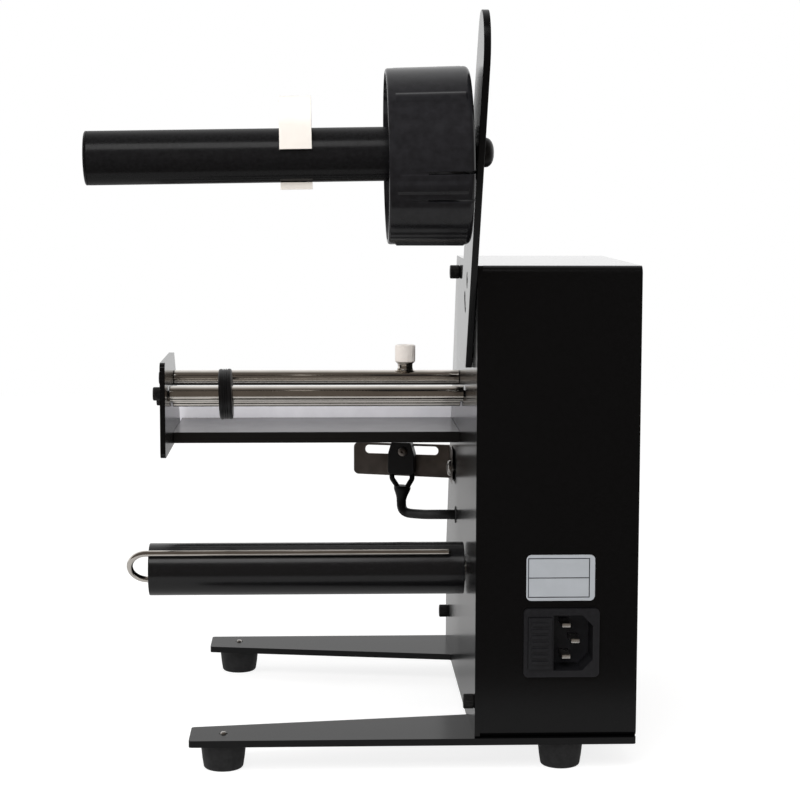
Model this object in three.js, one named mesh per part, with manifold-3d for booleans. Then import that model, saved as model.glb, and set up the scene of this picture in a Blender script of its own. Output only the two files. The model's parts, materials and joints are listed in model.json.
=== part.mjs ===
// Label dispenser machine: a tall panel on a U-shaped base carries a supply shaft, a label table,
// a label sensor and a motor-driven take-up roller. Millimetres, +Z up.
// While the pieces are made, X = 0 is the panel's roller-side face and grows toward the cabinet,
// Y = 0 is its near edge, and Z = 0 is the top of the base plate. The last lines centre the machine
// on its footprint and stand it on Z = 0.
import * as THREE from "three";
import { mergeVertices } from "three/addons/utils/BufferGeometryUtils.js";
import Module from "manifold-3d";

const wasm = await Module();
wasm.setup();

// Clearances that more than one piece shares
const runningGap = 0.3; // round pieces in holes, and pieces that lean against a neighbour
const slipGap = 0.15; // screws and pins in square faced holes
const overrun = 2; // how far a cutter passes the face that it cuts

// Base plate and feet
const baseThickness = 3;
const baseFrontReach = 124.5; // from the panel's face to the ends of the legs
const baseRearReach = 70.8;
const baseNearEdge = -1;
const baseFarEdge = 200.3;
const legNearRoot = 39.5; // inner edges of the two legs, at the panel and at their ends
const legNearTip = 21.7;
const legFarRoot = 156.2;
const legFarTip = 177;
const baseCornerRadius = 1.5;
const footTopRadius = 10.1;
const footBottomRadius = 8.8;
const footHeight = 12;
const footEdgeRadius = 1.3;
const footRecessRadius = 5.4;
const footRecessDepth = 5;
const footInset = 11.8; // foot centres, in from the plate's long edges
const footFrontInset = 14.6; // and in from the ends of the legs
const footRearInset = 32;
const footScrewRadius = 1.6;
const footScrewTip = 0.8; // above the plate
const footHeadRadius = 4;
const footHeadHeight = 2.4;

// Panel
const panelThickness = 2.3;
const panelHeight = 206;
const panelDepth = 196.7;
const panelShoulder = 51.8; // height where the far edge starts to slant
const panelTopDepth = 127;
const panelCornerRadius = 1;
const panelScrewRadius = 1.9;
const capHeadRadius = 3.25;
const capHeadHeight = 4.6;
const capSocketRadius = 1.6;
const capSocketDepth = 2.2;
const panelScrewLength = 8; // under the head
const upperScrewIn = 18.3; // upper far screw, in from the panel's top far corner and down
const upperScrewDown = 7.3;
const lowerNearIn = 6.7;
const lowerNearUp = 14.8;
const lowerFarIn = 15.7;
const lowerFarUp = 17.5;

// Cabinet
const cabinetWidth = 68.5;
const cabinetWall = 1.2;
const cabinetInset = 1.5; // inside the panel's far edges
const cabinetBend = 3.4; // outside radius
const flangeWidth = 21; // inward flange that takes the panel's screws

// Rating plate and mains inlet on the cabinet's near side
const plateLeft = 19.75; // from the cabinet's open edge
const plateWidth = 29.9;
const plateHeight = 20.2;
const plateBottom = 60.8;
const plateThickness = 0.3;
const inletLeft = 18.7;
const inletWidth = 33;
const inletHeight = 30.2;
const inletMiddle = 42.4; // height of its centre
const inletBezel = 1.8;
const inletDepth = 26;
const inletRim = 1.3; // bezel beyond the body that passes the wall
const inletCorner = 2;
const socketWidth = 17.1;
const socketHeight = 24.4;
const socketChamfer = 4.6;
const socketRight = 2.9; // bezel to the right of the socket
const socketDepth = 15;
const pinPitch = 14;
const pinOffset = 4; // earth pin, beyond the other two
const pinWidth = 4;
const pinThickness = 2;
const pinRecess = 3.6; // pin tips behind the bezel's face
const pinTail = 7; // behind the body
const pinFromLeft = 6; // line of the two live pins, from the socket's left side
const drawerWidth = 10.2;
const drawerHeight = 22.6;
const drawerLeft = 1.9;
const drawerDepth = 24;
const drawerFace = 1.1; // proud of the bezel
const drawerRibs = 7;
const drawerRibHeight = 0.5;
const fuseRadius = 2.6;
const fuseLength = 20;

// Supply arm
const armThickness = 3;
const armTopRadius = 14.5;
const armTopNear = -46.4; // centre of the round top, from the panel's near edge
const armRise = 88.9; // and above the panel's top
const armLean = 33.8; // degrees toward the viewer
const armTail = 28.7; // its level lower end, below the stop pin
const armWide = 39.6; // low down
const armWideRise = 5.4; // height above the panel where the far edge reaches that width
const armPivotIn = 19.6; // pivot screw, from the panel's near edge
const armPivotDown = 7.1; // and below its top
const armPivotRadius = 2;
const armPivotHeadRadius = 3.4;
const armPivotHeadDepth = 1.6;
const armPivotLength = 10;
const stopPinOut = 11.6; // stop pin, beyond the pivot and below it
const stopPinDown = 10.2;
const stopPinRadius = 2.6;
const stopSlotRadius = 3;
const armSwing = 8; // degrees each way

// Supply shaft and what rides on it, in a frame on the shaft's axis at the arm's face
const shaftDroop = 1; // degrees
const shaftBack = 29.4; // its axis at the arm, from the arm's round top
const shaftDown = 41.4;
const shaftRadius = 11.15;
const shaftWall = 1.6;
const shaftLength = 159.4;
const shaftPlug = 16; // solid stretch at the arm
const endCapFlange = 1.2;
const endCapSpigot = 8;
const boltRadius = 3;
const boltLength = 14;
const boltHeadRadius = 6.15;
const boltHeadHeight = 4.7;
const hubStart = 2.4; // from the arm
const hubLength = 34.3;
const hubOuterRadius = 36.7; // at the arm
const hubOpenRadius = 36.15; // at the open left face
const hubWall = 2.2;
const hubChamfer = 1.5;
const hubHang = 1.2; // the hub hangs on the shaft by the play in its bore
const hubBossRadius = 16.4;
const hubBossStart = 6;
const hubBossLength = 28;
const hubWebStart = 21;
const hubWebThickness = 2.5;
const hubSides = 36;
const hubRibs = 6;
const hubRibHeight = 0.8;
const hubRibWidth = 3.6;
const hubRibEnds = 3; // bare ends of the hub beside a rib
const hubFirstRib = -23; // degrees up from the viewer's side
const fingerSlot = 1.1;
const fingerHalfAngle = 9.3; // degrees
const clipStart = 67.3; // from the arm
const clipWidth = 13.2;
const clipThickness = 0.9;
const clipLegBottom = 2.3; // front leg, above the shaft's axis
const clipTop = 24.3;
const clipLipDrop = 14.1;
const clipLipFront = 2.9;

// Label table, side plate and the three chrome rods
const tableSpan = 137; // from the panel to the side plate
const tableNear = 99.5;
const tableFar = 160;
const tableBottom = 117.3;
const tableThickness = 5.2;
const peelThickness = 1.5;
const peelHeight = 16.7;
const peelPast = 1.5; // its left end, beyond the table's
const sideThickness = 2.4;
const sideNear = 50;
const sideFar = 150;
const sideTopFar = 110;
const sideDrop = 0.8; // its bottom, below the table's
const sideFarRise = 2.7; // and these heights are above the table's bottom
const sideRise = 42.7;
const sideCorner = 3;
const rodRadius = 3.65;
const barIn = 107;
const barRise = 30.7;
const upperRollerIn = 71;
const upperRollerRise = 26.7;
const lowerRollerIn = 92;
const lowerRollerRise = 22.1;
const rollerEndGap = 0.5;
const pivotRadius = 1.5; // screws and studs that the rollers turn on
const pivotReach = 9; // into a roller
const barStud = 3; // tie bar's stud beyond the panel
const sideHeadRadius = 3.15;
const sideHeadHeight = 4.7;
const tableScrewNear = 115;
const tableScrewFar = 142;
const tableScrewReach = 12;
const tableHeadRadius = 2.6;
const thumbAlong = 26.1; // thumb screw, from the panel
const thumbShoulderRadius = 3.6;
const thumbShoulderHeight = 3.1;
const thumbRadius = 4.85;
const thumbHeight = 8.8;
const thumbFlutes = 14;
const thumbReach = 5.4; // thread in the bar
const ringAlong = 110.5; // guide ring, from the panel
const ringRadius = 11.7;
const ringWidth = 5.9;

// Sensor bracket, sensor and its lead
const bracketThickness = 1.2;
const bracketBend = 158;
const bracketFlange = 24; // from the bend toward the viewer, flat on the panel
const bracketReach = 51.1;
const bracketLean = 13.8; // degrees that the slotted plate leans away from square
const bracketDrop = 8.9; // its top, below the table's bottom
const bracketHeight = 17;
const bracketTaper = 0.7; // its bottom edge rises to the free end
const bracketCorner = 2.5;
const bracketScrewBack = 11; // from the bend
const bracketScrewUp = 6.8; // above the bracket's bottom
const bracketHeadRadius = 4;
const bracketHeadHeight = 2.2;
const slotStart = 6.9; // from the bend
const slotLength = 38.3;
const slotHeight = 4.4;
const slotDown = 3.3; // slot's centre line below the bracket's top
const sensorAlong = 24.1; // sensor's screw, from the bend
const sensorOffset = 1.05; // and its middle, beyond the screw
const sensorWidth = 13.5;
const sensorHeight = 16.3;
const sensorDepth = 6.5;
const sensorTopTaper = 1.7;
const sensorBottomTaper = 1;
const sensorTopTaperHeight = 6;
const sensorAboveSlot = 4.6;
const sensorScrewRadius = 1.6;
const sensorHeadRadius = 2.4;
const sensorHeadHeight = 1.2;
const sensorNutRadius = 3.4;
const sensorNutHeight = 2.6;
const cableRadius = 2.4;
const leadRadius = 1.3;
const leadInset = 1.55; // lead centres, in from the sensor's sides
const leadSpread = 3.3; // and from the sleeve's axis at its mouth
const sleeveTopRadius = 4.3;
const sleeveTop = 87.8;
const sleeveBottom = 79.5;
const sleeveIn = 157;
const sleeveAlong = 25.6;
const grommetIn = 125;
const grommetUp = 78;
const grommetRadius = 4.2;
const grommetLip = 0.5;
const grommetWaist = 0.9;

// Take-up roller, wire clip and drive
const takeUpIn = 60;
const takeUpUp = 64;
const takeUpRadius = 12;
const takeUpBore = 10;
const takeUpLength = 144.5;
const takeUpGap = 1; // to the panel
const takeUpPlug = 25;
const wireRadius = 1.4;
const wireRight = 7.2; // right end of the outer leg, from the panel
const wireInnerEnd = 38;
const wireLoopLeft = 155.5; // outermost point of the loop, from the panel
const wireOuterAngle = 42; // degrees up from the viewer's side
const wireInnerOut = 2; // inner leg: toward the viewer and down from the axis
const wireInnerDown = 4.3;
const driveRadius = 3;
const driveInHub = 20;
const driveInGearbox = 12;
const gearboxRadius = 18.5;
const gearboxLength = 21.5;
const gearboxBoss = 6;
const motorRadius = 17;
const motorLength = 38;
const motorTail = 3;

// Power supply and control board inside the cabinet
const supplyFromPanel = 10;
const supplyWidth = 48;
const supplyNear = 95;
const supplyDepth = 78;
const supplyHeight = 34;
const supplyCorner = 1.5;
const boardNear = 88;
const boardDepth = 52;
const boardBottom = 62;
const boardHeight = 56;
const boardThickness = 1.6;
const boardStandoff = 12;
const standoffRadius = 3;
const boardEdge = 5;
const connectorSize = 8;
const connectorHeight = 5;
const chipHeight = 9;

// Switch and speed control on the slanted front, in a frame on its outer face
const controlsAcross = 34; // from the cabinet's open edge
const switchAlong = 60; // up the slant from the shoulder
const knobAlong = 108;
const switchWidth = 15;
const switchLength = 21;
const switchRim = 1;
const switchBezel = 1.6;
const switchDepth = 14;
const rockerRadius = 7.3;
const rockerWidth = 9.8;
const rockerDrop = 1.2;
const rockerRimAngle = 32; // degrees from the face to the rocker's upper corners
const rockerDip = 1;
const rockerTilt = 10; // degrees from level to either position
const controlRadius = 8;
const controlDepth = 9;
const controlBushRadius = 3.6;
const controlBush = 5;
const knobRadius = 8;
const knobTopRadius = 6.6;
const knobHeight = 13;
const knobStemRadius = 2.5;
const knobLift = 0.8; // above the bush
const knobPointerWidth = 1;
const knobPointerDepth = 0.5;

// Places that follow from the sizes above
const pivotUp = panelHeight - armPivotDown;
const stopPinIn = armPivotIn + stopPinOut;
const stopPinUp = pivotUp - stopPinDown;
const armTopUp = panelHeight + armRise;
const shaftIn = armTopNear + shaftBack;
const shaftUp = armTopUp - shaftDown;
const barUp = tableBottom + barRise;
const upperRollerUp = tableBottom + upperRollerRise;
const lowerRollerUp = tableBottom + lowerRollerRise;
const bracketTop = tableBottom - bracketDrop;
const bracketBottom = bracketTop - bracketHeight;

const coat = new THREE.MeshStandardMaterial({ color: 0x141414, roughness: 0.42, metalness: 0.1 });
const plastic = new THREE.MeshStandardMaterial({ color: 0x0b0b0b, roughness: 0.35 });
const rubber = new THREE.MeshStandardMaterial({ color: 0x101010, roughness: 0.8 });
const chrome = new THREE.MeshStandardMaterial({ color: 0xd8d4cc, roughness: 0.12, metalness: 1 });
const steel = new THREE.MeshStandardMaterial({ color: 0xb9b6b0, roughness: 0.35, metalness: 1 });
const blackSteel = new THREE.MeshStandardMaterial({ color: 0x1a1a1a, roughness: 0.45, metalness: 0.6 });
const spring = new THREE.MeshStandardMaterial({ color: 0xe9e4d8, roughness: 0.4, metalness: 0.3 });
const label = new THREE.MeshStandardMaterial({ color: 0xc9cbcc, roughness: 0.5 });
const board = new THREE.MeshStandardMaterial({ color: 0x1d5b33, roughness: 0.5 });
const glass = new THREE.MeshStandardMaterial({ color: 0xdfe7ea, roughness: 0.1 });

const xAxis = new THREE.Vector3(1, 0, 0);
const yAxis = new THREE.Vector3(0, 1, 0);
const zAxis = new THREE.Vector3(0, 0, 1);
const radians = THREE.MathUtils.degToRad;

// Solids

function solidOf(geometry) {
  const bare = geometry.index ? geometry.toNonIndexed() : geometry.clone();
  bare.deleteAttribute("normal");
  bare.deleteAttribute("uv");
  const merged = mergeVertices(bare);
  const corners = merged.index.array;
  const kept = [];
  for (let i = 0; i < corners.length; i += 3) {
    const [a, b, c] = corners.slice(i, i + 3);
    if (a !== b && b !== c && c !== a) kept.push(a, b, c);
  }
  return new wasm.Manifold(
    new wasm.Mesh({
      numProp: 3,
      vertProperties: merged.attributes.position.array,
      triVerts: new Uint32Array(kept),
    }),
  );
}

function join(...solids) {
  return solids.reduce((whole, more) => whole.add(more));
}

function cut(solid, ...cutters) {
  return cutters.reduce((left, cutter) => left.subtract(cutter), solid);
}

// A box from its lower and upper limits on each axis.
function block([x0, x1], [y0, y1], [z0, z1]) {
  const box = new THREE.BoxGeometry(x1 - x0, y1 - y0, z1 - z0);
  return solidOf(box.translate((x0 + x1) / 2, (y0 + y1) / 2, (z0 + z1) / 2));
}

// A closed outline from its corners, each [u, v, radius]; a corner without a radius stays sharp.
function outline(corners) {
  const shape = new THREE.Shape();
  corners.forEach(([u, v, radius = 0], i) => {
    const here = new THREE.Vector2(u, v);
    const toward = ([x, y]) => new THREE.Vector2(x, y).sub(here).normalize();
    const back = toward(corners.at(i - 1));
    const on = toward(corners[(i + 1) % corners.length]);
    if (radius === 0) {
      if (i === 0) shape.moveTo(u, v);
      else shape.lineTo(u, v);
      return;
    }
    const half = Math.acos(back.dot(on)) / 2;
    const centre = back.clone().add(on).setLength(radius / Math.sin(half)).add(here);
    const reach = radius / Math.tan(half);
    const start = here.clone().addScaledVector(back, reach).sub(centre).angle();
    const end = here.clone().addScaledVector(on, reach).sub(centre).angle();
    shape.absarc(centre.x, centre.y, radius, start, end, back.cross(on) > 0);
  });
  return shape.closePath();
}

// The same outline moved inward by one distance; its corners run counter-clockwise.
function inset(corners, distance) {
  return corners.map(([u, v], i) => {
    const here = new THREE.Vector2(u, v);
    const normal = (from, to) => {
      const along = new THREE.Vector2(...to).sub(new THREE.Vector2(...from)).normalize();
      return new THREE.Vector2(-along.y, along.x);
    };
    const before = normal(corners.at(i - 1).slice(0, 2), [u, v]);
    const after = normal([u, v], corners[(i + 1) % corners.length].slice(0, 2));
    const shift = before.clone().add(after).multiplyScalar(distance / (1 + before.dot(after)));
    here.add(shift);
    return [here.x, here.y];
  });
}

// A flat shape made solid along one axis: (y, z) outlines along x, (x, z) along y, (x, y) along z.
function slab(axis, shape, start, depth, curveSegments = 4) {
  const geometry = new THREE.ExtrudeGeometry(shape, { depth, bevelEnabled: false, curveSegments });
  const frames = {
    x: () => new THREE.Matrix4().makeBasis(yAxis, zAxis, xAxis).setPosition(start, 0, 0),
    y: () =>
      new THREE.Matrix4()
        .makeBasis(xAxis, zAxis, yAxis.clone().negate())
        .setPosition(0, start + depth, 0),
    z: () => new THREE.Matrix4().setPosition(0, 0, start),
  };
  return solidOf(geometry.applyMatrix4(frames[axis]()));
}

// A turned piece: profile is [place along the axis, radius], closed or ended on the axis.
function turned(axis, [x, y, z], profile, sides = 24) {
  const onAxis = profile[0][1] === 0 && profile.at(-1)[1] === 0;
  const loop = onAxis ? profile : [...profile, profile[0]];
  const spin = (points) => {
    const geometry = new THREE.LatheGeometry(
      points.map(([along, radius]) => new THREE.Vector2(radius, along)),
      sides,
    );
    if (axis === "x") geometry.rotateZ(-Math.PI / 2);
    if (axis === "z") geometry.rotateX(Math.PI / 2);
    return solidOf(geometry.translate(x, y, z));
  };
  const made = spin(loop);
  return made.volume() < 0 ? spin([...loop].reverse()) : made;
}

function cylinder(axis, centre, start, length, radius, sides = 24) {
  const end = start + length;
  return turned(axis, centre, [[start, 0], [start, radius], [end, radius], [end, 0]], sides);
}

// A path whose steps fall on its own points, so straight runs need only two.
class StationPath extends THREE.Curve {
  constructor(stations) {
    super();
    this.stations = stations;
  }
  getUtoTmapping(u) {
    return u;
  }
  getPoint(t, target = new THREE.Vector3()) {
    const place = t * (this.stations.length - 1);
    const i = Math.min(Math.floor(place), this.stations.length - 2);
    return target.copy(this.stations[i]).lerp(this.stations[i + 1], place - i);
  }
}

function tube(stations, radius, sides = 8) {
  const section = new THREE.Shape().absarc(0, 0, radius, 0, 2 * Math.PI);
  const geometry = new THREE.ExtrudeGeometry(section, {
    steps: stations.length - 1,
    curveSegments: sides,
    extrudePath: new StationPath(stations),
  });
  const made = solidOf(geometry);
  if (made.volume() > 0) return made;
  geometry.scale(-1, 1, 1);
  return solidOf(geometry).scale([-1, 1, 1]);
}

const machine = new THREE.Group();

function place(group, name, solid, material) {
  const { vertProperties, triVerts } = solid.getMesh();
  const indexed = new THREE.BufferGeometry();
  indexed.setAttribute("position", new THREE.BufferAttribute(vertProperties, 3));
  indexed.setIndex(new THREE.BufferAttribute(triVerts, 1));
  const geometry = indexed.toNonIndexed();
  geometry.computeVertexNormals();
  const mesh = new THREE.Mesh(geometry, material);
  mesh.name = name;
  group.add(mesh);
}

// A socket head cap screw along X: its head lies on the -X side of seat.
function capScrew([seat, y, z], headRadius, headHeight, radius, length, headSides = 20) {
  const axis = [seat, y, z];
  const head = cylinder("x", axis, -headHeight, headHeight, headRadius, headSides);
  const shank = cylinder("x", axis, -slipGap, length + slipGap, radius, 12);
  const socket = cylinder("x", axis, -headHeight - overrun, capSocketDepth + overrun, capSocketRadius, 6);
  return cut(join(head, shank), socket);
}

function hole(axis, centre, start, length, radius, sides = 12) {
  return cylinder(axis, centre, start - overrun, length + 2 * overrun, radius, sides);
}

// Base plate and feet

const footPlaces = [
  ["near_front", footFrontInset - baseFrontReach, baseNearEdge + footInset],
  ["near_rear", baseRearReach - footRearInset, baseNearEdge + footInset],
  ["far_front", footFrontInset - baseFrontReach, baseFarEdge - footInset],
  ["far_rear", baseRearReach - footRearInset, baseFarEdge - footInset],
];

function makeBasePlate() {
  const corners = [
    [-baseFrontReach, baseNearEdge, baseCornerRadius],
    [baseRearReach, baseNearEdge, baseCornerRadius],
    [baseRearReach, baseFarEdge, baseCornerRadius],
    [-baseFrontReach, baseFarEdge, baseCornerRadius],
    [-baseFrontReach, legFarTip, baseCornerRadius],
    [0, legFarRoot, baseCornerRadius],
    [0, legNearRoot, baseCornerRadius],
    [-baseFrontReach, legNearTip, baseCornerRadius],
  ];
  const plate = slab("z", outline(corners), -baseThickness, baseThickness);
  const holes = footPlaces.map(([, x, y]) =>
    hole("z", [x, y, 0], -baseThickness, baseThickness, footScrewRadius + runningGap),
  );
  place(machine, "base_plate", cut(plate, ...holes), coat);
}

function footSolid(x, y) {
  const top = -baseThickness;
  const bottom = top - footHeight;
  const bore = footScrewRadius + runningGap;
  const slope = (footTopRadius - footBottomRadius) / footHeight;
  return turned("z", [x, y, 0], [
    [top, bore],
    [top, footTopRadius],
    [bottom + footEdgeRadius, footBottomRadius + slope * footEdgeRadius],
    [bottom + footEdgeRadius / 3, footBottomRadius - footEdgeRadius / 5],
    [bottom, footBottomRadius - footEdgeRadius],
    [bottom, footRecessRadius],
    [bottom + footRecessDepth, footRecessRadius],
    [bottom + footRecessDepth, bore],
  ], 20);
}

function footScrewSolid(x, y) {
  const seat = -baseThickness - footHeight + footRecessDepth;
  return turned("z", [x, y, 0], [
    [seat - footHeadHeight, 0],
    [seat - footHeadHeight, footHeadRadius - footHeadHeight / 3],
    [seat - footHeadHeight / 2, footHeadRadius],
    [seat, footHeadRadius],
    [seat, footScrewRadius],
    [footScrewTip - footScrewRadius / 3, footScrewRadius],
    [footScrewTip, footScrewRadius / 2],
    [footScrewTip, 0],
  ], 12);
}

function makeFeet() {
  for (const [name, x, y] of footPlaces) {
    place(machine, `foot_${name}`, footSolid(x, y), rubber);
    place(machine, `foot_screw_${name}`, footScrewSolid(x, y), steel);
  }
}

// Panel, its screws and the cabinet

const panelCorners = [
  [0, 0],
  [panelDepth, 0],
  [panelDepth, panelShoulder],
  [panelTopDepth, panelHeight],
  [0, panelHeight],
];
const slant = (panelDepth - panelTopDepth) / (panelHeight - panelShoulder);
const cabinetDepth = panelDepth - cabinetInset;
const cabinetTopDepth = panelTopDepth - cabinetInset;
const cabinetCorners = [
  [0, 0],
  [cabinetDepth, 0],
  [cabinetDepth, panelShoulder],
  [cabinetTopDepth, panelHeight],
  [0, panelHeight],
];
const rounded = (corners, radius) => corners.map(([u, v]) => [u, v, radius]);

const panelScrews = [
  ["upper_far", panelTopDepth - upperScrewIn, panelHeight - upperScrewDown],
  ["lower_near", lowerNearIn, lowerNearUp],
  ["lower_far", panelDepth - lowerFarIn, lowerFarUp],
];
const bracketScrewAt = [0, bracketBend - bracketScrewBack, bracketBottom + bracketScrewUp];

function makePanel() {
  const plate = slab("x", outline(rounded(panelCorners, panelCornerRadius)), 0, panelThickness);
  const through = (y, z, radius, sides) => hole("x", [0, y, z], 0, panelThickness, radius, sides);
  const screwHoles = panelScrews.map(([, y, z]) => through(y, z, panelScrewRadius + runningGap));
  const studs = [
    [upperRollerIn, upperRollerUp],
    [lowerRollerIn, lowerRollerUp],
  ].map(([y, z]) => cylinder("x", [0, y, z], -pivotReach, pivotReach + panelThickness, pivotRadius, 12));
  const open = cut(
    plate,
    ...screwHoles,
    through(armPivotIn, pivotUp, armPivotRadius + runningGap),
    through(stopPinIn, stopPinUp, stopPinRadius + slipGap),
    through(barIn, barUp, pivotRadius + runningGap),
    hole("x", bracketScrewAt, 0, panelThickness, sensorScrewRadius + runningGap),
    through(grommetIn, grommetUp, grommetRadius - grommetWaist + slipGap),
    through(takeUpIn, takeUpUp, gearboxBoss + runningGap),
  );
  place(machine, "main_panel", join(open, ...studs), coat);
  for (const [name, y, z] of panelScrews) {
    const seat = [0, y, z];
    const screw = capScrew(seat, capHeadRadius, capHeadHeight, panelScrewRadius, panelScrewLength);
    place(machine, `panel_screw_${name}`, screw, blackSteel);
  }
}

// The frame of the slanted front: x across, y down the slant, z out of it.
const slantAngle = Math.atan2(panelHeight - panelShoulder, panelDepth - panelTopDepth);
const slantTurn = new THREE.Matrix4().makeRotationX(-slantAngle);

function onSlant(along) {
  return new THREE.Vector3(
    panelThickness + controlsAcross,
    cabinetDepth - along * Math.cos(slantAngle),
    panelShoulder + along * Math.sin(slantAngle),
  );
}

function cutOnSlant(solid, along) {
  const frame = slantTurn.clone().setPosition(onSlant(along));
  return solid.transform(frame.elements);
}

function makeCabinet() {
  const inside = panelThickness + cabinetWall;
  const shell = slab("x", outline(rounded(cabinetCorners, cabinetBend)), panelThickness, cabinetWidth);
  const roomShape = outline(rounded(inset(cabinetCorners, cabinetWall), cabinetBend - cabinetWall));
  const room = slab("x", roomShape, inside, cabinetWidth - 2 * cabinetWall);
  const mouth = slab(
    "x",
    outline(inset(cabinetCorners, flangeWidth)),
    panelThickness - overrun,
    cabinetWall + 2 * overrun,
  );
  const flangeHoles = [...panelScrews, ["pivot", armPivotIn, pivotUp]].map(([, y, z]) =>
    hole("x", [0, y, z], panelThickness, cabinetWall, armPivotRadius + runningGap),
  );
  const bracketHole = hole("x", bracketScrewAt, panelThickness, cabinetWall, sensorScrewRadius + runningGap);
  const footHoles = footPlaces
    .filter(([, x]) => x > 0)
    .map(([, x, y]) => hole("z", [x, y, 0], 0, cabinetWall, footScrewRadius + runningGap));
  const inletHole = block(
    [inletX + inletRim - slipGap, inletX + inletWidth - inletRim + slipGap],
    [-overrun, cabinetWall + overrun],
    [inletZ + inletRim - slipGap, inletZ + inletHeight - inletRim + slipGap],
  );
  const switchHole = block(
    [switchRim - switchWidth / 2 - runningGap, switchWidth / 2 - switchRim + runningGap],
    [switchRim - switchLength / 2 - runningGap, switchLength / 2 - switchRim + runningGap],
    [-cabinetWall - overrun, overrun],
  );
  const bushHole = hole("z", [0, 0, 0], -cabinetWall, cabinetWall, controlBushRadius + runningGap);
  const cover = cut(
    shell,
    room,
    mouth,
    ...flangeHoles,
    bracketHole,
    ...footHoles,
    inletHole,
    cutOnSlant(switchHole, switchAlong),
    cutOnSlant(bushHole, knobAlong),
  );
  place(machine, "cabinet_cover", cover, coat);
}

// Rating plate, mains inlet and fuse drawer

const inletX = panelThickness + inletLeft;
const inletZ = inletMiddle - inletHeight / 2;
const socketX = inletX + inletWidth - socketRight - socketWidth;
const drawerX = inletX + drawerLeft;
const drawerZ = inletMiddle - drawerHeight / 2;

function makeRatingPlate() {
  const left = panelThickness + plateLeft;
  const plate = block(
    [left, left + plateWidth],
    [-plateThickness, 0],
    [plateBottom, plateBottom + plateHeight],
  );
  place(machine, "rating_plate", plate, label);
}

const inletPins = [
  ["upper", socketX + pinFromLeft, inletMiddle + pinPitch / 2],
  ["lower", socketX + pinFromLeft, inletMiddle - pinPitch / 2],
  ["earth", socketX + pinFromLeft + pinOffset, inletMiddle],
];

function pinBlock(x, z, grow, front, back) {
  return block(
    [x - pinWidth / 2 - grow, x + pinWidth / 2 + grow],
    [front, back],
    [z - pinThickness / 2 - grow, z + pinThickness / 2 + grow],
  );
}

function makeInlet() {
  const bezel = slab(
    "y",
    outline([
      [inletX, inletZ, inletCorner],
      [inletX + inletWidth, inletZ, inletCorner],
      [inletX + inletWidth, inletZ + inletHeight, inletCorner],
      [inletX, inletZ + inletHeight, inletCorner],
    ]),
    -inletBezel,
    inletBezel,
  );
  const body = block(
    [inletX + inletRim, inletX + inletWidth - inletRim],
    [0, inletDepth],
    [inletZ + inletRim, inletZ + inletHeight - inletRim],
  );
  const socketBottom = inletMiddle - socketHeight / 2;
  const socketTop = inletMiddle + socketHeight / 2;
  const socketEnd = socketX + socketWidth;
  const socket = slab(
    "y",
    outline([
      [socketX, socketBottom],
      [socketEnd - socketChamfer, socketBottom],
      [socketEnd, socketBottom + socketChamfer],
      [socketEnd, socketTop - socketChamfer],
      [socketEnd - socketChamfer, socketTop],
      [socketX, socketTop],
    ]),
    -inletBezel - overrun,
    socketDepth + overrun,
  );
  const drawerHole = block(
    [drawerX - slipGap, drawerX + drawerWidth + slipGap],
    [-inletBezel - overrun, drawerDepth - inletBezel + slipGap],
    [drawerZ - slipGap, drawerZ + drawerHeight + slipGap],
  );
  const pinHoles = inletPins.map(([, x, z]) => pinBlock(x, z, slipGap, 0, inletDepth + overrun));
  place(machine, "inlet_body", cut(join(bezel, body), socket, drawerHole, ...pinHoles), plastic);
  for (const [name, x, z] of inletPins) {
    const pin = pinBlock(x, z, 0, pinRecess - inletBezel, inletDepth + pinTail);
    place(machine, `inlet_pin_${name}`, pin, steel);
  }
}

function makeFuseDrawer() {
  const middleX = drawerX + drawerWidth / 2;
  const body = block(
    [drawerX, drawerX + drawerWidth],
    [-inletBezel - drawerFace, drawerDepth - inletBezel],
    [drawerZ, drawerZ + drawerHeight],
  );
  const fuseCentre = [middleX, drawerDepth / 2, inletMiddle];
  const pocket = block(
    [middleX - fuseRadius - slipGap, drawerX + drawerWidth + overrun],
    [fuseCentre[1] - fuseRadius - slipGap, fuseCentre[1] + fuseRadius + slipGap],
    [inletMiddle - fuseLength / 2 - slipGap, inletMiddle + fuseLength / 2 + slipGap],
  );
  const pitch = drawerHeight / (drawerRibs + 1);
  const ribs = Array.from({ length: drawerRibs }, (_, i) => {
    const z = drawerZ + pitch * (i + 1);
    const face = -inletBezel - drawerFace;
    return block(
      [drawerX + pitch / 2, drawerX + drawerWidth - pitch / 2],
      [face - drawerRibHeight, face + drawerRibHeight],
      [z - pitch / 4, z + pitch / 4],
    );
  });
  place(machine, "fuse_drawer", join(cut(body, pocket), ...ribs), plastic);
  const fuse = cylinder("z", fuseCentre, -fuseLength / 2, fuseLength, fuseRadius, 12);
  place(machine, "fuse", fuse, glass);
}

// Supply arm

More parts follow.
